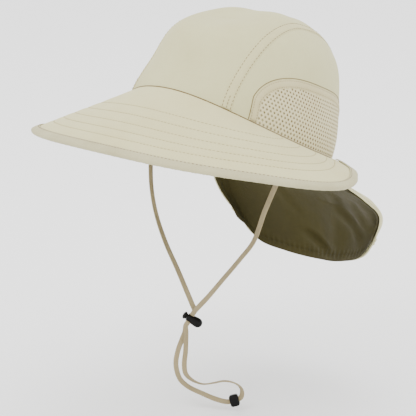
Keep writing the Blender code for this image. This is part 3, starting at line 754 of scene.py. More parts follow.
def new_piece(name, points, faces, look, uv=None):
    """A smooth shaded mesh piece, with its cloth coordinates in metres when they are given."""
    mesh = bpy.data.meshes.new(name)
    mesh.from_pydata(np.asarray(points).tolist(), [], faces)
    if uv is not None:
        layer = mesh.uv_layers.new(name="cloth")
        corners = np.empty(len(mesh.loops), dtype=int)
        mesh.loops.foreach_get("vertex_index", corners)
        layer.data.foreach_set("uv", np.asarray(uv)[corners].ravel())
    mesh.shade_smooth()
    mesh.materials.append(look)
    return placed(name, mesh)


def grid_faces(columns, count, start=0):
    return [(start + i * count + j, start + (i + 1) * count + j,
             start + (i + 1) * count + j + 1, start + i * count + j + 1)
            for i in range(columns - 1) for j in range(count - 1)]


def grid_normals(grid, away):
    """Unit normals of a grid of points, on the side away from a point."""
    normal = unit(np.cross(np.gradient(grid, axis=0), np.gradient(grid, axis=1)))
    if np.sum(normal * (grid - np.array(away))) < 0:
        normal = -normal
    return normal


def uv_grid(along, across):
    return np.stack(np.meshgrid(along, across, indexing="ij"), axis=-1).reshape(-1, 2)


def cloth_uv(grid):
    """Cloth coordinates of a grid: its lengths along both ways, in metres."""
    run = np.linalg.norm(np.diff(grid, axis=0), axis=-1).mean(axis=1)
    fall = np.linalg.norm(np.diff(grid, axis=1), axis=-1).mean(axis=0)
    return uv_grid(np.concatenate([[0.0], np.cumsum(run)]), np.concatenate([[0.0], np.cumsum(fall)]))


def add_thickness(piece, thickness):
    solidify = piece.modifiers.new("thickness", "SOLIDIFY")
    solidify.thickness = thickness
    solidify.offset = -1.0
    return piece


def cloth_piece(name, grid, thickness, look, away):
    """An open grid whose outer face is the grid, thickened towards the other side."""
    columns, count = grid.shape[:2]
    faces = grid_faces(columns, count)
    raw = np.cross(grid[1, 0] - grid[0, 0], grid[0, 1] - grid[0, 0])
    if raw.dot(grid_normals(grid, away)[0, 0]) < 0:
        faces = [face[::-1] for face in faces]
    piece = new_piece(name, grid.reshape(-1, 3), faces, look, cloth_uv(grid))
    return add_thickness(piece, thickness)


def closed_piece(name, points, faces, look, uv=None):
    piece = new_piece(name, points, faces, look, uv)
    work = bmesh.new()
    work.from_mesh(piece.data)
    bmesh.ops.recalc_face_normals(work, faces=work.faces)
    work.to_mesh(piece.data)
    work.free()
    return piece


def ring_faces(columns, count):
    """Faces of a closed bar lofted through a row of rings, with a face at both ends."""
    faces = [(i * count + j, (i + 1) * count + j, (i + 1) * count + (j + 1) % count,
              i * count + (j + 1) % count) for i in range(columns - 1) for j in range(count)]
    faces.append(tuple(range(count)))
    faces.append(tuple((columns - 1) * count + j for j in range(count)))
    return faces


def resample(line, pitch):
    """Points, tangents and source shares at equal steps along a polyline."""
    steps = lengths(line)
    count = max(2, int(round(steps[-1] / pitch)))
    at = (np.arange(count) + 0.5) / count * steps[-1]
    points = np.stack([np.interp(at, steps, line[:, k]) for k in range(3)], axis=-1)
    near = 0.25 * pitch
    ahead = np.stack([np.interp(at + near, steps, line[:, k]) for k in range(3)], axis=-1)
    behind = np.stack([np.interp(at - near, steps, line[:, k]) for k in range(3)], axis=-1)
    return points, unit(ahead - behind), at, steps


def rings_round(middle, side, other, radius, sides):
    """Rings of points round a line, across two unit directions."""
    turn = np.arange(sides) * 2 * math.pi / sides
    return middle[:, None] + radius * (np.cos(turn)[None, :, None] * side[:, None]
                                       + np.sin(turn)[None, :, None] * other[:, None])


def stitches(name, runs, look, length=STITCH_LENGTH, pitch=STITCH_PITCH, radius=THREAD_RADIUS):
    """Thread stitches along runs of (line, normals), each one sunk into the cloth at its ends."""
    along = np.array([-0.5, -0.28, 0.28, 0.5]) * length
    width = np.array([0.35, 1.0, 1.0, 0.35]) * radius
    height = np.array([-0.8, 0.35, 0.35, -0.8]) * radius
    blocks = []
    for line, normals in runs:
        middle, tangent, at, steps = resample(line, pitch)
        normal = np.stack([np.interp(at, steps, normals[:, k]) for k in range(3)], axis=-1)
        normal = unit(normal - tangent * np.sum(normal * tangent, axis=-1, keepdims=True))
        side = np.cross(tangent, normal)
        rings = [rings_round(middle + tangent * step + normal * high, side, normal, wide, THREAD_SIDES)
                 for step, wide, high in zip(along, width, height)]
        blocks.append(np.stack(rings, axis=1))
    cloud = np.concatenate(blocks).reshape(-1, 3)
    shape = ring_faces(len(along), THREAD_SIDES)
    faces = [tuple(start + k for k in face)
             for start in range(0, len(cloud), len(along) * THREAD_SIDES) for face in shape]
    return closed_piece(name, cloud, faces, look, cloud[:, :2])


def groove(distance, width, depth):
    """Relief of a stitched line: a shallow valley around distance 0."""
    return -depth * np.exp(-((distance / width) ** 2))


def side_pieces(name, solid, grid, thickness, look, slot, thread=None):
    """A cloth piece and its stitches on the hat's left, then their mirror images on its right."""
    for side, flip in (("left", np.array), ("right", mirrored)):
        piece = cloth_piece(name + side, flip(grid), thickness, look, HEAD_MIDDLE)
        finish_piece(piece, slot, solid + side)
        if thread:
            lines = [(flip(line), flip(normals)) for line, normals in thread[1]]
            finish_piece(stitches(thread[0] + side, lines, *thread[2:]), slot)


def folded(edge, rise, sunk):
    """Relief of a folded strip at a distance from its edge, above the cloth that it lies on."""
    return rise * (1 - np.exp(-((edge / FOLD_EDGE) ** 1.3))) - sunk


def band_normals(ways):
    step = 1e-4
    lifted = crown(ways, CROWN_WALL + step)
    return unit(lifted - crown(ways, CROWN_WALL))


def arc_run(tangent, foot, shares):
    """Directions at shares of the way along an arc over the crown, from its front foot to its rear one."""
    front, rear = (arc_end(tangent, foot, behind) for behind in (False, True))
    angle = front + (rear - front) * shares
    return arc_way(angle, tangent(angle))


def crown_panels(looks):
    """The three fabric panels of the crown, thickened inwards from their outer faces."""
    joint = JOINT_GAP / (2 * OPENING_HALF_WIDTH)
    across, along = CENTRE_FINE
    columns = []
    for share in np.linspace(-1, 1, across + 1):
        def tangent(angle, share=share):
            return share * (band_line(angle, "middle") - joint * (1 + band_line(angle, "middle") ** 2))
        columns.append(arc_run(tangent, foot_elevation, np.linspace(0, 1, along + 1)))
    ways = np.array(columns)
    grid = crown(ways, CROWN_WALL)
    piece = cloth_piece("crown_center_cloth", grid, CLOTH_WALL, looks["crown"], HEAD_MIDDLE)
    finish_piece(piece, "shell_cloth", "crown_center_panel")

    arch = arch_ways(foot_elevation, cells=SIDE_FINE[0])

    def tangent(angle):
        return band_line(angle, "middle") + joint * (1 + band_line(angle, "middle") ** 2)
    steps = lengths(crown(arch))
    band = arc_run(tangent, foot_elevation, steps / steps[-1])
    shares = np.linspace(0, 1, SIDE_FINE[1] + 1)[None, :, None]
    ways = arch[:, None] * (1 - shares) + band[:, None] * shares
    grid = crown(ways, CROWN_WALL)
    side_pieces("crown_side_cloth_", "crown_side_panel_", grid, CLOTH_WALL, looks["crown"], "shell_cloth")


def seam_bands(looks):
    """The felled bands: folded edges, two sunk lines of stitches and a faint pucker between them."""
    rows_across = []
    shares = np.linspace(0, 1, BAND_FINE[1] + 1)
    for share in shares:
        def tangent(angle, share=share):
            return band_line(angle, "front") * (1 - share) + band_line(angle, "rear") * share
        rows_across.append(arc_run(tangent, trim_elevation, np.linspace(0, 1, BAND_FINE[0] + 1)))
    ways = np.array(rows_across)
    base = crown(ways, CROWN_WALL)
    normal = band_normals(ways)
    length = np.linspace(0, 1, BAND_FINE[0] + 1)[None, :] * BAND_LENGTH
    place = shares[:, None]
    edge = np.minimum(place, 1 - place) * BAND_WIDTH
    inset = edge - BAND_STITCH_INSET
    pucker = np.sin(2 * math.pi * length / PUCKER_PITCH) * np.exp(-(inset / PUCKER_WIDTH) ** 2)
    relief = folded(edge, BAND_RISE, FOLD_SUNK) + groove(inset, *STITCH_GROOVE) + PUCKER_DEPTH * pucker
    grid = base + normal * relief[..., None]
    runs = []
    for share in (BAND_STITCH_INSET / BAND_WIDTH, 1 - BAND_STITCH_INSET / BAND_WIDTH):
        k = int(round(share * BAND_FINE[1]))
        runs.append((grid[k], normal[k]))
    foot = int(BAND_FINE[0] * 0.055)
    runs.append((grid[BAND_FINE[1] // 2, :foot], normal[BAND_FINE[1] // 2, :foot]))
    side_pieces("seam_band_cloth_", "seam_band_", grid, FOLD_WALL, looks["band"], "shell_cloth",
                ("seam_band_stitches_", runs, looks["seam"]))


def arch_ways(foot, inset=0.0, cells=14, foot_cells=6):
    """Directions up one side of the vent, over its arch and down the other side."""
    shares = VENT_SIDE * np.sin(np.linspace(-1, 1, cells + 1) * math.pi / 2)
    azimuth, elevation = vent_arch(shares, inset)
    rise = np.arange(foot_cells) / foot_cells
    front = foot(azimuth[0]) + (elevation[0] - foot(azimuth[0])) * rise
    rear = foot(azimuth[-1]) + (elevation[-1] - foot(azimuth[-1])) * rise[::-1]
    return np.concatenate([direction(azimuth[0] + 0 * front, front), direction(azimuth, elevation),
                           direction(azimuth[-1] + 0 * rear, rear)])


def mesh_trims(looks):
    """The folded facing round the vent's arch, with a stitched line near both edges."""
    shares = np.linspace(0, 1, TRIM_FINE[1] + 1)
    outer = -rise_angle(TRIM_OVERLAP)
    inner = rise_angle(TRIM_WIDTH)
    ways = np.array([arch_ways(trim_elevation, outer + (inner - outer) * s, TRIM_FINE[0]) for s in shares])
    base = crown(ways, CROWN_WALL)
    normal = band_normals(ways)
    edge = np.minimum(shares, 1 - shares)[:, None] * TRIM_WIDTH
    relief = folded(edge, TRIM_RISE, FOLD_SUNK) + groove(edge - TRIM_STITCH_INSET, *TRIM_GROOVE)
    length = lengths(base[-1])
    pleat = np.sin(2 * math.pi * length / PLEAT_PITCH)[None, :] * shares[:, None] ** 2
    relief = relief + PLEAT_DEPTH * pleat
    grid = base + normal * relief[..., None]
    k = int(round(TRIM_STITCH_INSET / TRIM_WIDTH * TRIM_FINE[1]))
    runs = [(grid[k], normal[k]), (grid[-1 - k], normal[-1 - k])]
    side_pieces("mesh_trim_cloth_", "mesh_trim_", grid, FOLD_WALL, looks["trim"], "trim_cloth",
                ("mesh_trim_stitches_", runs, looks["seam"], *FINE_STITCH))


def mesh_cells():
    """Flat hexagon cells of the vent as metres round and up, pierced where the mesh shows."""
    turn = np.arange(12) * math.pi / 6
    corner = np.where(np.arange(12) % 2 == 0, 1.0, math.cos(math.pi / 6))
    ring = np.stack([np.sin(turn), np.cos(turn)], axis=-1)
    hexagon = ring * (corner * MESH_PITCH / math.sqrt(3))[:, None]
    hole = ring * MESH_HOLE / 2
    span = math.radians(VENT_HALF_SPAN) * OPENING_HALF_WIDTH
    columns = int(span / MESH_PITCH) + 2
    row_step = MESH_PITCH * math.sqrt(3) / 2
    top = math.radians(VENT_HEIGHT + 8) * OPENING_HALF_WIDTH
    low = -CROWN_TURN_IN - row_step
    cells = []
    for row in range(int((top - low) / row_step) + 2):
        for column in range(-columns, columns + 1):
            centre = np.array([(column + (row % 2) / 2) * MESH_PITCH, low + row * row_step])
            azimuth = VENT_MIDDLE + math.degrees(centre[0] / OPENING_HALF_WIDTH)
            share = (azimuth - VENT_MIDDLE) / VENT_HALF_SPAN
            if abs(share) > 1.03:
                continue
            rise = VENT_HEIGHT * (1 - min(abs(share), 0.999) ** VENT_POWER) ** (1 / VENT_POWER)
            rise = math.radians(rise) * OPENING_HALF_WIDTH
            if centre[1] > rise + MESH_PITCH * 0.6 or centre[1] < -CROWN_TURN_IN - row_step:
                continue
            inset = math.degrees((TRIM_WIDTH - MESH_MARGIN) / OPENING_HALF_WIDTH)
            inner_share = (azimuth - VENT_MIDDLE) / (VENT_HALF_SPAN - inset)
            open_rise = -1.0
            if abs(inner_share) < 1:
                open_rise = (1 - abs(inner_share) ** VENT_POWER) ** (1 / VENT_POWER)
                open_rise = math.radians((VENT_HEIGHT - inset) * open_rise) * OPENING_HALF_WIDTH
            pierced = MESH_MARGIN < centre[1] < open_rise - MESH_HOLE / 2
            cells.append((centre, pierced))
    return hexagon, hole, cells


def mesh_panels(looks):
    """The vents: a knitted mesh pierced by staggered round holes, with a plain edge under the trim and
    painted shade round each hole's edge.
    """
    hexagon, hole, cells = mesh_cells()
    flat, faces, index = [], [], {}

    def corner(point):
        key = (round(point[0] * MERGE_STEPS), round(point[1] * MERGE_STEPS))
        if key not in index:
            index[key] = len(flat)
            flat.append(point)
        return index[key]
    for centre, pierced in cells:
        ring = [corner(centre + p) for p in hexagon]
        if not pierced:
            faces.append(tuple(ring[::-1]))
            continue
        inside = list(range(len(flat), len(flat) + 12))
        flat.extend(centre + hole)
        for j in range(12):
            after = (j + 1) % 12
            faces.append((ring[j], inside[j], inside[after], ring[after]))
    # Mask of painted shade: 1 at the holes' edges, fading to 0 at the cells' corners
    painted_shade_at_holes = np.zeros(len(flat))
    painted_shade_at_holes[[k for face in faces if len(face) == 4 for k in face[1:3]]] = 1.0
    flat = np.array(flat)
    azimuth = VENT_MIDDLE + np.degrees(flat[:, 0] / OPENING_HALF_WIDTH)
    half = VENT_HALF_SPAN - rise_angle(JOINT_GAP)
    share = np.clip((azimuth - VENT_MIDDLE) / half, -VENT_SIDE, VENT_SIDE)
    azimuth = VENT_MIDDLE + share * half
    top = vent_arch(share, rise_angle(JOINT_GAP))[1]
    elevation = rim_elevation(azimuth) + np.degrees(flat[:, 1] / OPENING_HALF_WIDTH)
    elevation = np.clip(elevation, foot_elevation(azimuth), top)
    points = crown(direction(azimuth, elevation), CROWN_WALL - MESH_SUNK)
    for side, flip in (("left", False), ("right", True)):
        shown = mirrored(points) if flip else points
        order = [face[::-1] for face in faces] if flip else faces
        piece = new_piece("mesh_panel_cloth_" + side, shown, order, looks["mesh"], flat)
        piece.data.attributes.new("painted_shade_at_holes", "FLOAT", "POINT").data.foreach_set("value", painted_shade_at_holes)
        work = bmesh.new()
        work.from_mesh(piece.data)
        bmesh.ops.dissolve_degenerate(work, dist=1e-6, edges=work.edges)
        work.to_mesh(piece.data)
        work.free()
        total = sum(p.normal.dot(p.center - Vector(HEAD_MIDDLE)) * p.area for p in piece.data.polygons)
        if total < 0:
            piece.data.flip_normals()
        add_thickness(piece, MESH_WALL)
        finish_piece(piece, "vent_mesh", "mesh_panel_" + side)


def row_share(turn, share, end):
    """Share of the way from the seam to the edge of one row of stitches on the bill."""
    return share * np.clip(1 - (np.abs(turn) / end) ** ROW_BEND, 0, 1) ** ROW_RISE


def brim_cloths(looks):
    """The bill's two cloths: a pale top with sunk rows of stitches and a dark one below."""
    turn = np.linspace(-BRIM_END, BRIM_END, BRIM_FINE[0] + 1)
    share = np.linspace(0, 1, BRIM_FINE[1] + 1)
    azimuth, across = np.meshgrid(turn, share, indexing="ij")
    base = brim_face(azimuth, across)
    normal = grid_normals(base, BELOW)
    reach = brim_sizes(azimuth)[0]
    relief = np.zeros_like(reach)
    for place, end in BRIM_ROWS:
        inside = np.abs(azimuth) < end
        gap = (across - row_share(azimuth, place, end)) * reach
        relief = relief + np.where(inside, sum(groove(gap, *sizes) for sizes in ROW_GROOVES), 0)
    length = np.radians(azimuth) * RIPPLE_ARM
    ripple = np.sin(2 * math.pi * length / RIPPLE_PITCH + 9 * across) * np.sin(math.pi * across)
    top = base + normal * (relief + RIPPLE_DEPTH * ripple)[..., None]
    piece = cloth_piece("brim_top_cloth", top, BRIM_CLOTH, looks["brim"], BELOW)
    finish_piece(piece, "brim_cloth", "brim")
    lower = brim_grids(BRIM_UNDER_FINE)[1]
    piece = cloth_piece("brim_under_cloth", lower, BRIM_CLOTH, looks["under"], ABOVE)
    finish_piece(piece, "brim_cloth")
    runs = []
    under_runs = []
    for place, end in BRIM_ROWS:
        along = np.linspace(-end, end, 400)
        line = brim_face(along, row_share(along, place, end))
        step = 1e-3
        run = brim_face(along + step, row_share(along, place, end)) - line
        out = brim_face(along, row_share(along, place, end) + step) - line
        up = unit(np.cross(out, run))
        up = up * np.sign(up[:, 2:])
        runs.append((line - up * ROW_STITCH_DEPTH, up))
        under_runs.append((line - up * (BRIM_THICKNESS + UNDER_STITCH_GAP), -up))
    finish_piece(stitches("brim_stitches", runs, looks["thread"]), "brim_cloth")
    finish_piece(stitches("brim_under_stitches", under_runs, looks["under"]), "brim_cloth")


def binding(looks):
    """The folded binding: a rounded channel round the bill's edge, puckered by its stitches."""
    upper, lower = brim_grids((BINDING_FINE, 12))
    edge = upper[:, -1]
    inward = unit(upper[:, -2] - edge)
    up = unit(edge - lower[:, -1])
    along = unit(np.gradient(edge, axis=0))
    slant = np.linalg.norm(np.cross(along, inward), axis=-1)
    widen = 1 / np.clip(slant, 0.5, 1)
    reach = np.linalg.norm(upper[:, 0] - edge, axis=-1)
    lips = np.minimum(BINDING_LIP, BINDING_LIP_SHARE * reach)
    length = lengths(edge)
    sections = []
    upper_line, lower_line = [], []
    for k in range(len(edge)):
        outline = binding_outline(lips[k] / widen[k])
        section = []
        for x, z, free in outline:
            depth = max(x, 0.0) / BINDING_LIP
            wave = math.sin(2 * math.pi * (length[k] / BIND_PUCKER - 0.9 * depth))
            wave += 0.5 * math.sin(2 * math.pi * (length[k] / (BIND_PUCKER * 2.3) + 0.6 * depth))
            puff = BIND_PUCKER_DEPTH * wave * free
            puff = math.copysign(puff, z + BRIM_THICKNESS / 2)
            section.append(edge[k] + inward[k] * (x * widen[k]) + up[k] * (z + puff))
        sections.append(section)
        inset = (lips[k] / widen[k] - BIND_STITCH_INSET) * widen[k]
        upper_line.append(edge[k] + inward[k] * inset + up[k] * BIND_TOP)
        lower_line.append(edge[k] + inward[k] * inset - up[k] * (BRIM_THICKNESS + BIND_TOP))
    sections = np.array(sections)
    around = np.arange(sections.shape[1]) * BIND_UV_STEP
    piece = closed_piece("brim_binding_cloth", sections.reshape(-1, 3), ring_faces(*sections.shape[:2]),
                         looks["binding"], uv_grid(length, around))
    finish_piece(piece, "binding_cloth", "brim_binding")
    runs = [(np.array(upper_line), up), (np.array(lower_line), -up)]
    finish_piece(stitches("binding_stitches", runs, looks["seam"]), "binding_cloth")


def binding_outline(lip):
    """The binding's section: across, up and how free the cloth is to pucker, round its outline."""
    low = -BRIM_THICKNESS
    upper, lower = [], []
    for share in np.linspace(1, 0, 7):
        bulge = BIND_BULGE * BIND_TOP * math.sin(math.pi * min(1.0, share + 0.15))
        high = BIND_TOP - BIND_FOLD * (share > 0.93) + bulge
        free = 0.3 + 0.7 * (1 - share)
        upper.append((lip * share, high, free))
        lower.append((lip * share, low - high, free))
    nose = BRIM_THICKNESS / 2 + BIND_TOP
    front = [(-nose * 1.05 * math.cos(turn), low / 2 + nose * math.sin(turn), 1.0)
             for turn in np.radians([60, 30, 0, -30, -60])]
    inner = PIECE_GAP
    return upper + front + lower[::-1] + [(lip, low - inner, 0.0), (-inner, low - inner, 0.0),
                                          (-inner, inner, 0.0), (lip, inner, 0.0)]


def cape_cloths(looks):
    """The neck cape: pale outer cloth and dark lining, with a turned and stitched hem."""
    across, down = np.meshgrid(np.linspace(0, 1, CAPE_FINE[0] + 1),
                               np.linspace(0, 1, CAPE_FINE[1] + 1), indexing="ij")
    base = cape_surface(across, down)
    normal = grid_normals(base, HEAD_MIDDLE)
    base = base + normal * cape_creases(across, down)[..., None]
    normal = grid_normals(base, HEAD_MIDDLE)
    edge = cape_edge_distance(base)
    hem = HEM_THICKNESS * 0.5 * (1 + np.tanh((HEM_WIDTH - edge) / HEM_EDGE))
    length = np.linspace(0, 1, CAPE_FINE[0] + 1)[:, None] * CAPE_HEM_LENGTH
    depth, pitch, width = HEM_PUCKER
    pucker = np.sin(2 * math.pi * length / pitch + 6 * down) * np.exp(-((edge - HEM_WIDTH) / width) ** 2)
    relief = hem + groove(edge - HEM_STITCH, *STITCH_GROOVE) + depth * pucker
    outer = base + normal * (CAPE_CLOTH + relief)[..., None]
    shell = cloth_piece("cape_shell_cloth", outer, CAPE_CLOTH, looks["cape"], HEAD_MIDDLE)
    finish_piece(shell, "cape_cloth", "cape_outer")
    row = int(math.ceil((CROWN_TURN_IN + PIECE_GAP * 2 - CAPE_TOP_DROP) / CAPE_DROP * CAPE_FINE[1]))
    inside = base - normal * (JOINT_GAP + LINING_CLOTH + relief * LINING_RELIEF)[..., None]
    lining = cloth_piece("cape_lining_cloth", inside[:, row:], LINING_CLOTH, looks["lining"], BEHIND)
    finish_piece(lining, "lining_cloth", "cape_lining")
    piece = stitches("cape_hem_stitches", [hem_line(outer, normal, edge)], looks["thread"])
    finish_piece(piece, "cape_cloth")
    piece = stitches("cape_lining_stitches", [hem_line(inside, -normal, edge)], looks["lining"])
    finish_piece(piece, "lining_cloth")


def cape_creases(across, down):
    """Relief of the cape's sharp creases, each one a ridge beside a valley that fades at its ends."""
    relief = np.zeros_like(across)
    for start, end, depth in CAPE_CREASES:
        start, end = np.array(start), np.array(end)
        run = end - start
        share = ((across - start[0]) * run[0] + (down - start[1]) * run[1]) / run.dot(run)
        off = ((across - start[0]) * run[1] - (down - start[1]) * run[0]) / math.sqrt(run.dot(run))
        fade = np.exp(-((share - 0.5) / 0.45) ** 4)
        relief = relief + depth * off / CREASE_WIDTH * np.exp(-((off / CREASE_WIDTH) ** 2)) * fade
    return relief


def cape_edge_distance(grid):
    """Distance of every grid point from the cape's free edges, along the cloth."""
    run = np.linalg.norm(np.diff(grid, axis=0), axis=-1)
    fall = np.linalg.norm(np.diff(grid, axis=1), axis=-1)
    from_left = np.vstack([np.zeros((1, grid.shape[1])), np.cumsum(run, axis=0)])
    from_right = from_left[-1] - from_left
    from_top = np.hstack([np.zeros((grid.shape[0], 1)), np.cumsum(fall, axis=1)])
    from_hem = from_top[:, -1:] - from_top
    return np.minimum(np.minimum(from_left, from_right), from_hem)


def hem_line(grid, normal, edge):
    """The line a stitch inset from the free edges, down one side, along the hem and up the other."""
    left = [crossing(grid[:, j], normal[:, j], edge[:, j], False) for j in range(2, grid.shape[1] - 9)]
    right = [crossing(grid[:, j], normal[:, j], edge[:, j], True) for j in range(2, grid.shape[1] - 9)]
    low = [crossing(grid[i, ::-1], normal[i, ::-1], edge[i, ::-1], False)
           for i in range(8, grid.shape[0] - 8)]
    pairs = left + low + right[::-1]
    return np.array([p for p, _ in pairs]), np.array([n for _, n in pairs])


def crossing(points, normals, edge, backwards):
    """Where a row of points first lies a stitch inset from the free edge."""
    order = slice(None, None, -1) if backwards else slice(None)
    points, normals, edge = points[order], normals[order], edge[order]
    k = int(np.argmax(edge > HEM_STITCH))
    t = (HEM_STITCH - edge[k - 1]) / (edge[k] - edge[k - 1])
    return points[k - 1] * (1 - t) + points[k] * t, normals[k]


def lace(looks):
    """The flat lace along the cord's route, lying with its face to the front."""
    path = through(np.array(CORD_ROUTE_MM) * 0.001, np.linspace(0, 1, LACE_STEPS))
    tangent = unit(np.gradient(path, axis=0))
    share = np.linspace(0, 1, LACE_STEPS)
    near_end = np.exp(-(share / 0.03) ** 2)[:, None]
    far_end = np.exp(-((1 - share) / 0.03) ** 2)[:, None]
    twist = np.radians(smooth(share, *rows(LACE_TURN, 1)))
    outward = np.array([1.0, 0.0, 0.0])
    face = np.array(LOCK_FACE) * (1 - near_end - far_end) + outward * (near_end - far_end)
    face = unit(face - tangent * np.sum(face * tangent, axis=-1, keepdims=True))
    side = np.cross(tangent, face)
    face, side = (face * np.cos(twist)[:, None] + side * np.sin(twist)[:, None],
                  side * np.cos(twist)[:, None] - face * np.sin(twist)[:, None])
    turn = np.arange(LACE_SIDES) * 2 * math.pi / LACE_SIDES
    wide = np.sign(np.cos(turn)) * np.abs(np.cos(turn)) ** 0.55 * LACE_WIDTH / 2
    thick = np.sign(np.sin(turn)) * np.abs(np.sin(turn)) ** 0.8 * LACE_THICKNESS / 2
    thick = thick * (1 - 0.25 * np.exp(-(wide / (LACE_WIDTH * 0.12)) ** 2))
    rings = path[:, None] + side[:, None] * wide[None, :, None] + face[:, None] * thick[None, :, None]
    piece = closed_piece("chin_lace", rings.reshape(-1, 3), ring_faces(*rings.shape[:2]),
                         looks["lace"], uv_grid(lengths(path), wide))
    finish_piece(piece, "cord_lace", "chin_cord")
    return piece, path


def tube(name, line, radius, look):
    """A thin round tube along a line, used for the painted seam shadow lines."""
    tangent = unit(np.gradient(line, axis=0))
    side = unit(np.cross(tangent, [0.0, 0.0, 1.0]))
    other = np.cross(tangent, side)
    rings = rings_round(line, side, other, radius, THREAD_SIDES * 2)
    cloud = rings.reshape(-1, 3)
    return closed_piece(name, cloud, ring_faces(*rings.shape[:2]), look, cloud[:, :2])


def seam_shadow_lines(looks):
    """Dark lines round the foot of the crown and outside the facing of each vent: thin tubes that paint
    the shadow of the gaps at these seams.
    """
    azimuth = np.linspace(-BRIM_END, BRIM_END, FOOT_STEPS + 1)
    seam, out = brim_seam(azimuth)
    # A dark tube along the crown's foot seam: painted shadow of its gap
    line = seam - out * PIECE_GAP + np.array([0.0, 0.0, SEAM_SHADOW_RADIUS * 0.5])
    finish_piece(tube("crown_foot_seam_shadow", line, SEAM_SHADOW_RADIUS, looks["seam"]), "trim_cloth")
    # Dark tubes just outside each vent's facing: painted shadow of the gap at that seam
    ways = arch_ways(trim_elevation, -rise_angle(TRIM_OVERLAP) - rise_angle(SEAM_SHADOW_RADIUS), TRIM_FINE[0])
    line = crown(ways, CROWN_WALL)
    for side, points in (("left", line), ("right", mirrored(line))):
        piece = tube("mesh_trim_seam_" + side, points, TRIM_SEAM_SHADOW_RADIUS, looks["seam"])
        finish_piece(piece, "trim_cloth")


def turned_piece(name, profile, frame, look):
    """A turned solid round the local Z axis of a frame."""
    turn = np.arange(TURN_SIDES) * 2 * math.pi / TURN_SIDES
    radius, height = np.array(profile).T
    rings = np.stack([radius[:, None] * np.cos(turn), radius[:, None] * np.sin(turn),
                      height[:, None] + 0 * turn], axis=-1)
    piece = closed_piece(name, rings.reshape(-1, 3), ring_faces(*rings.shape[:2]), look)
    piece.data.transform(frame)
    return piece


def facing_frame(axis, place_mm):
    """A frame at a place: local +Z runs along the axis, +X faces the way the cord is squeezed."""
    axis = Vector(axis).normalized()
    face = Vector(LOCK_FACE)
    face = (face - axis * face.dot(axis)).normalized()
    frame = Matrix((face, axis.cross(face), axis)).transposed().to_4x4()
    frame.translation = Vector(place_mm) * 0.001
    return frame


def box_cutter(name, size, frame):
    mesh = bpy.data.meshes.new(name)
    work = bmesh.new()
    bmesh.ops.create_cube(work, size=1.0)
    work.to_mesh(mesh)
    work.free()
    mesh.transform(frame @ Matrix.Diagonal((*size, 1.0)))
    return placed(name, mesh)


def settle(piece):
    """Puts a piece's modifiers into its mesh."""
    shaped = piece.evaluated_get(bpy.context.evaluated_depsgraph_get())
    settled = bpy.data.meshes.new_from_object(shaped)
    piece.modifiers.clear()
    piece.data = settled


def cut_window(piece, cutter, edge):
    """Cuts a window through a piece, then rounds its hard edges."""
    boolean = piece.modifiers.new("window", "BOOLEAN")
    boolean.operation = "DIFFERENCE"
    boolean.solver = "EXACT"
    boolean.object = cutter
    bevel = piece.modifiers.new("edges", "BEVEL")
    bevel.width = edge
    bevel.segments = 2
    bevel.limit_method = "ANGLE"
    bevel.angle_limit = math.radians(50)
    settle(piece)
    piece.data.shade_smooth()
    piece.data.set_sharp_from_angle(angle=math.radians(40))
    bpy.data.objects.remove(cutter)


def cord_lock(looks):
    window_middle = WINDOW_START + WINDOW_LENGTH / 2
    frame = facing_frame(LOCK_AXIS, LOCK_CENTRE_MM) @ Matrix.Translation((0, 0, -window_middle))
    bore_end = STEM_LENGTH + PRESS_TRAVEL + STEM_CLEARANCE
    outside = [(0.0, LOCK_LENGTH)]
    for turn in np.radians([15, 35, 55, 75]):
        outside.append((LOCK_RADIUS * math.sin(turn), LOCK_LENGTH - LOCK_RADIUS * (1 - math.cos(turn))))
    outside += [(LOCK_RADIUS, LOCK_LENGTH - LOCK_RADIUS * 1.15), (LOCK_RADIUS * 0.985, LOCK_LENGTH * 0.55),
                (LOCK_MOUTH * 1.05, LOCK_LENGTH * 0.27), (LOCK_MOUTH, MOUTH_BEVEL),
                (LOCK_MOUTH * 0.96, 0.0)]
    bore = LOCK_MOUTH - LOCK_WALL
    barrel = turned_piece("lock_barrel_shell", outside + [(bore, 0.0), (bore, bore_end), (0.0, bore_end)],
                          frame, looks["plastic"])
    middle = Matrix.Translation((0, 0, window_middle))
    size = (WINDOW_WIDTH, LOCK_RADIUS * 3, WINDOW_LENGTH)
    cut_window(barrel, box_cutter("barrel_window", size, frame @ middle), BARREL_BEVEL)
    finish_piece(barrel, "black_plastic", "lock_barrel")

    stem = bore - STEM_CLEARANCE
    head_low = -(PRESS_TRAVEL + STEM_CLEARANCE)
    profile = [(0.0, STEM_LENGTH), (stem * 0.9, STEM_LENGTH), (stem, STEM_LENGTH - STEM_BEVEL),
               (stem, head_low)]
    for turn in np.radians([80, 50, 20, -10, -40, -65, -85]):
        bulge = 0.62 + 0.38 * math.cos(turn) if turn > 0 else math.cos(turn)
        profile.append((HEAD_RADIUS * bulge, head_low - HEAD_LENGTH * (0.5 - 0.5 * math.sin(turn))))
    profile.append((0.0, head_low - HEAD_LENGTH))
    plunger = turned_piece("lock_plunger_shell", profile, frame, looks["plastic"])
    window_end = WINDOW_START + WINDOW_LENGTH
    high = window_end - STEM_WINDOW_MARGIN
    low = high - WINDOW_LENGTH - PRESS_TRAVEL + STEM_WINDOW_MARGIN * 2
    size = (WINDOW_WIDTH - STEM_WINDOW_MARGIN, LOCK_RADIUS * 3, high - low)
    place = frame @ Matrix.Translation((0, 0, (low + high) / 2))
    cut_window(plunger, box_cutter("plunger_window", size, place), PLUNGER_BEVEL)
    finish_piece(plunger, "black_plastic", "lock_plunger", body="plunger")
    return barrel, plunger


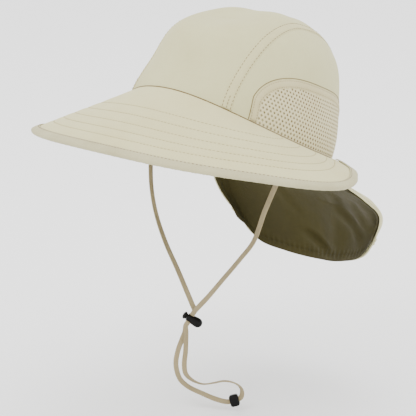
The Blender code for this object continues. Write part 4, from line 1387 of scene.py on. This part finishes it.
def cord_bead(looks):
    """The block that closes the cord's loop: rounded all over, with a slot through it."""
    frame = facing_frame(BEAD_AXIS, BEAD_CENTRE_MM)
    bead = box_cutter("cord_bead_shell", BEAD_SIZE, frame)
    bead.data.materials.append(looks["plastic"])
    bevel = bead.modifiers.new("round", "BEVEL")
    bevel.width = min(BEAD_SIZE) * 0.28
    bevel.segments = 5
    settle(bead)
    slot = box_cutter("bead_slot", (BEAD_SLOT[1], BEAD_SLOT[0], BEAD_SIZE[2] * 2), frame)
    cut_window(bead, slot, BEAD_BEVEL)
    finish_piece(bead, "black_plastic", "cord_bead")
    return bead


def camera():
    """The photo's view: azimuth and elevation round the aim point, with no shift."""
    azimuth, elevation = math.radians(VIEW_AZIMUTH), math.radians(VIEW_ELEVATION)
    way = Vector((math.sin(azimuth) * math.cos(elevation), -math.cos(azimuth) * math.cos(elevation),
                  math.sin(elevation)))
    right = Vector((math.cos(azimuth), math.sin(azimuth), 0.0))
    aim = right * VIEW_AIM[0] + right.cross(-way).normalized() * VIEW_AIM[1]
    data = bpy.data.cameras.new("camera")
    data.sensor_width = SENSOR
    data.lens = VIEW_FOCAL * VIEW_DISTANCE * SENSOR
    made = placed("camera", data)
    made.location = aim + way * VIEW_DISTANCE
    made.rotation_euler = way.to_track_quat("Z", "Y").to_euler()
    bpy.context.scene.camera = made
    return way, right


def area_light(name, place, size, energy):
    data = bpy.data.lights.new(name, "AREA")
    data.shape = "DISK"
    data.size = size
    data.energy = energy
    made = placed(name, data)
    made.location = place
    made.rotation_euler = (Vector(place) - Vector(LIGHT_AIM)).to_track_quat("Z", "Y").to_euler()


def stage(way, right):
    """A pale floor, a white surround and three soft lights."""
    mesh = bpy.data.meshes.new("floor")
    half = FLOOR_SIZE / 2
    mesh.from_pydata([(-half, -half, FLOOR_HEIGHT), (half, -half, FLOOR_HEIGHT),
                      (half, half, FLOOR_HEIGHT), (-half, half, FLOOR_HEIGHT)], [], [(0, 1, 2, 3)])
    mesh.materials.append(new_material("floor_paper", {"Base Color": FLOOR_SHADE, "Roughness": 0.9})[0])
    placed("floor", mesh)
    world = bpy.data.worlds.new("surround")
    world.use_nodes = True
    background = world.node_tree.nodes["Background"]
    background.inputs["Color"].default_value = (1.0, 1.0, 1.0, 1.0)
    background.inputs["Strength"].default_value = SURROUND
    bpy.context.scene.world = world
    up = Vector((0, 0, 1))
    area_light("key", way * 1.2 - right * 0.9 + up * 1.5, 1.0, KEY_LIGHT)
    area_light("fill", way * 1.3 + right * 1.2 + up * 0.3, 1.2, FILL_LIGHT)
    area_light("top", up * 1.8 - way * 0.5, 1.0, TOP_LIGHT)


def main():
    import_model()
    way, right = camera()
    looks = make_materials()
    cord, path = lace(looks)
    barrel, plunger = cord_lock(looks)
    bead = cord_bead(looks)
    crown_panels(looks)
    mesh_panels(looks)
    seam_bands(looks)
    mesh_trims(looks)
    seam_shadow_lines(looks)
    brim_cloths(looks)
    binding(looks)
    cape_cloths(looks)
    stage(way, right)


main()
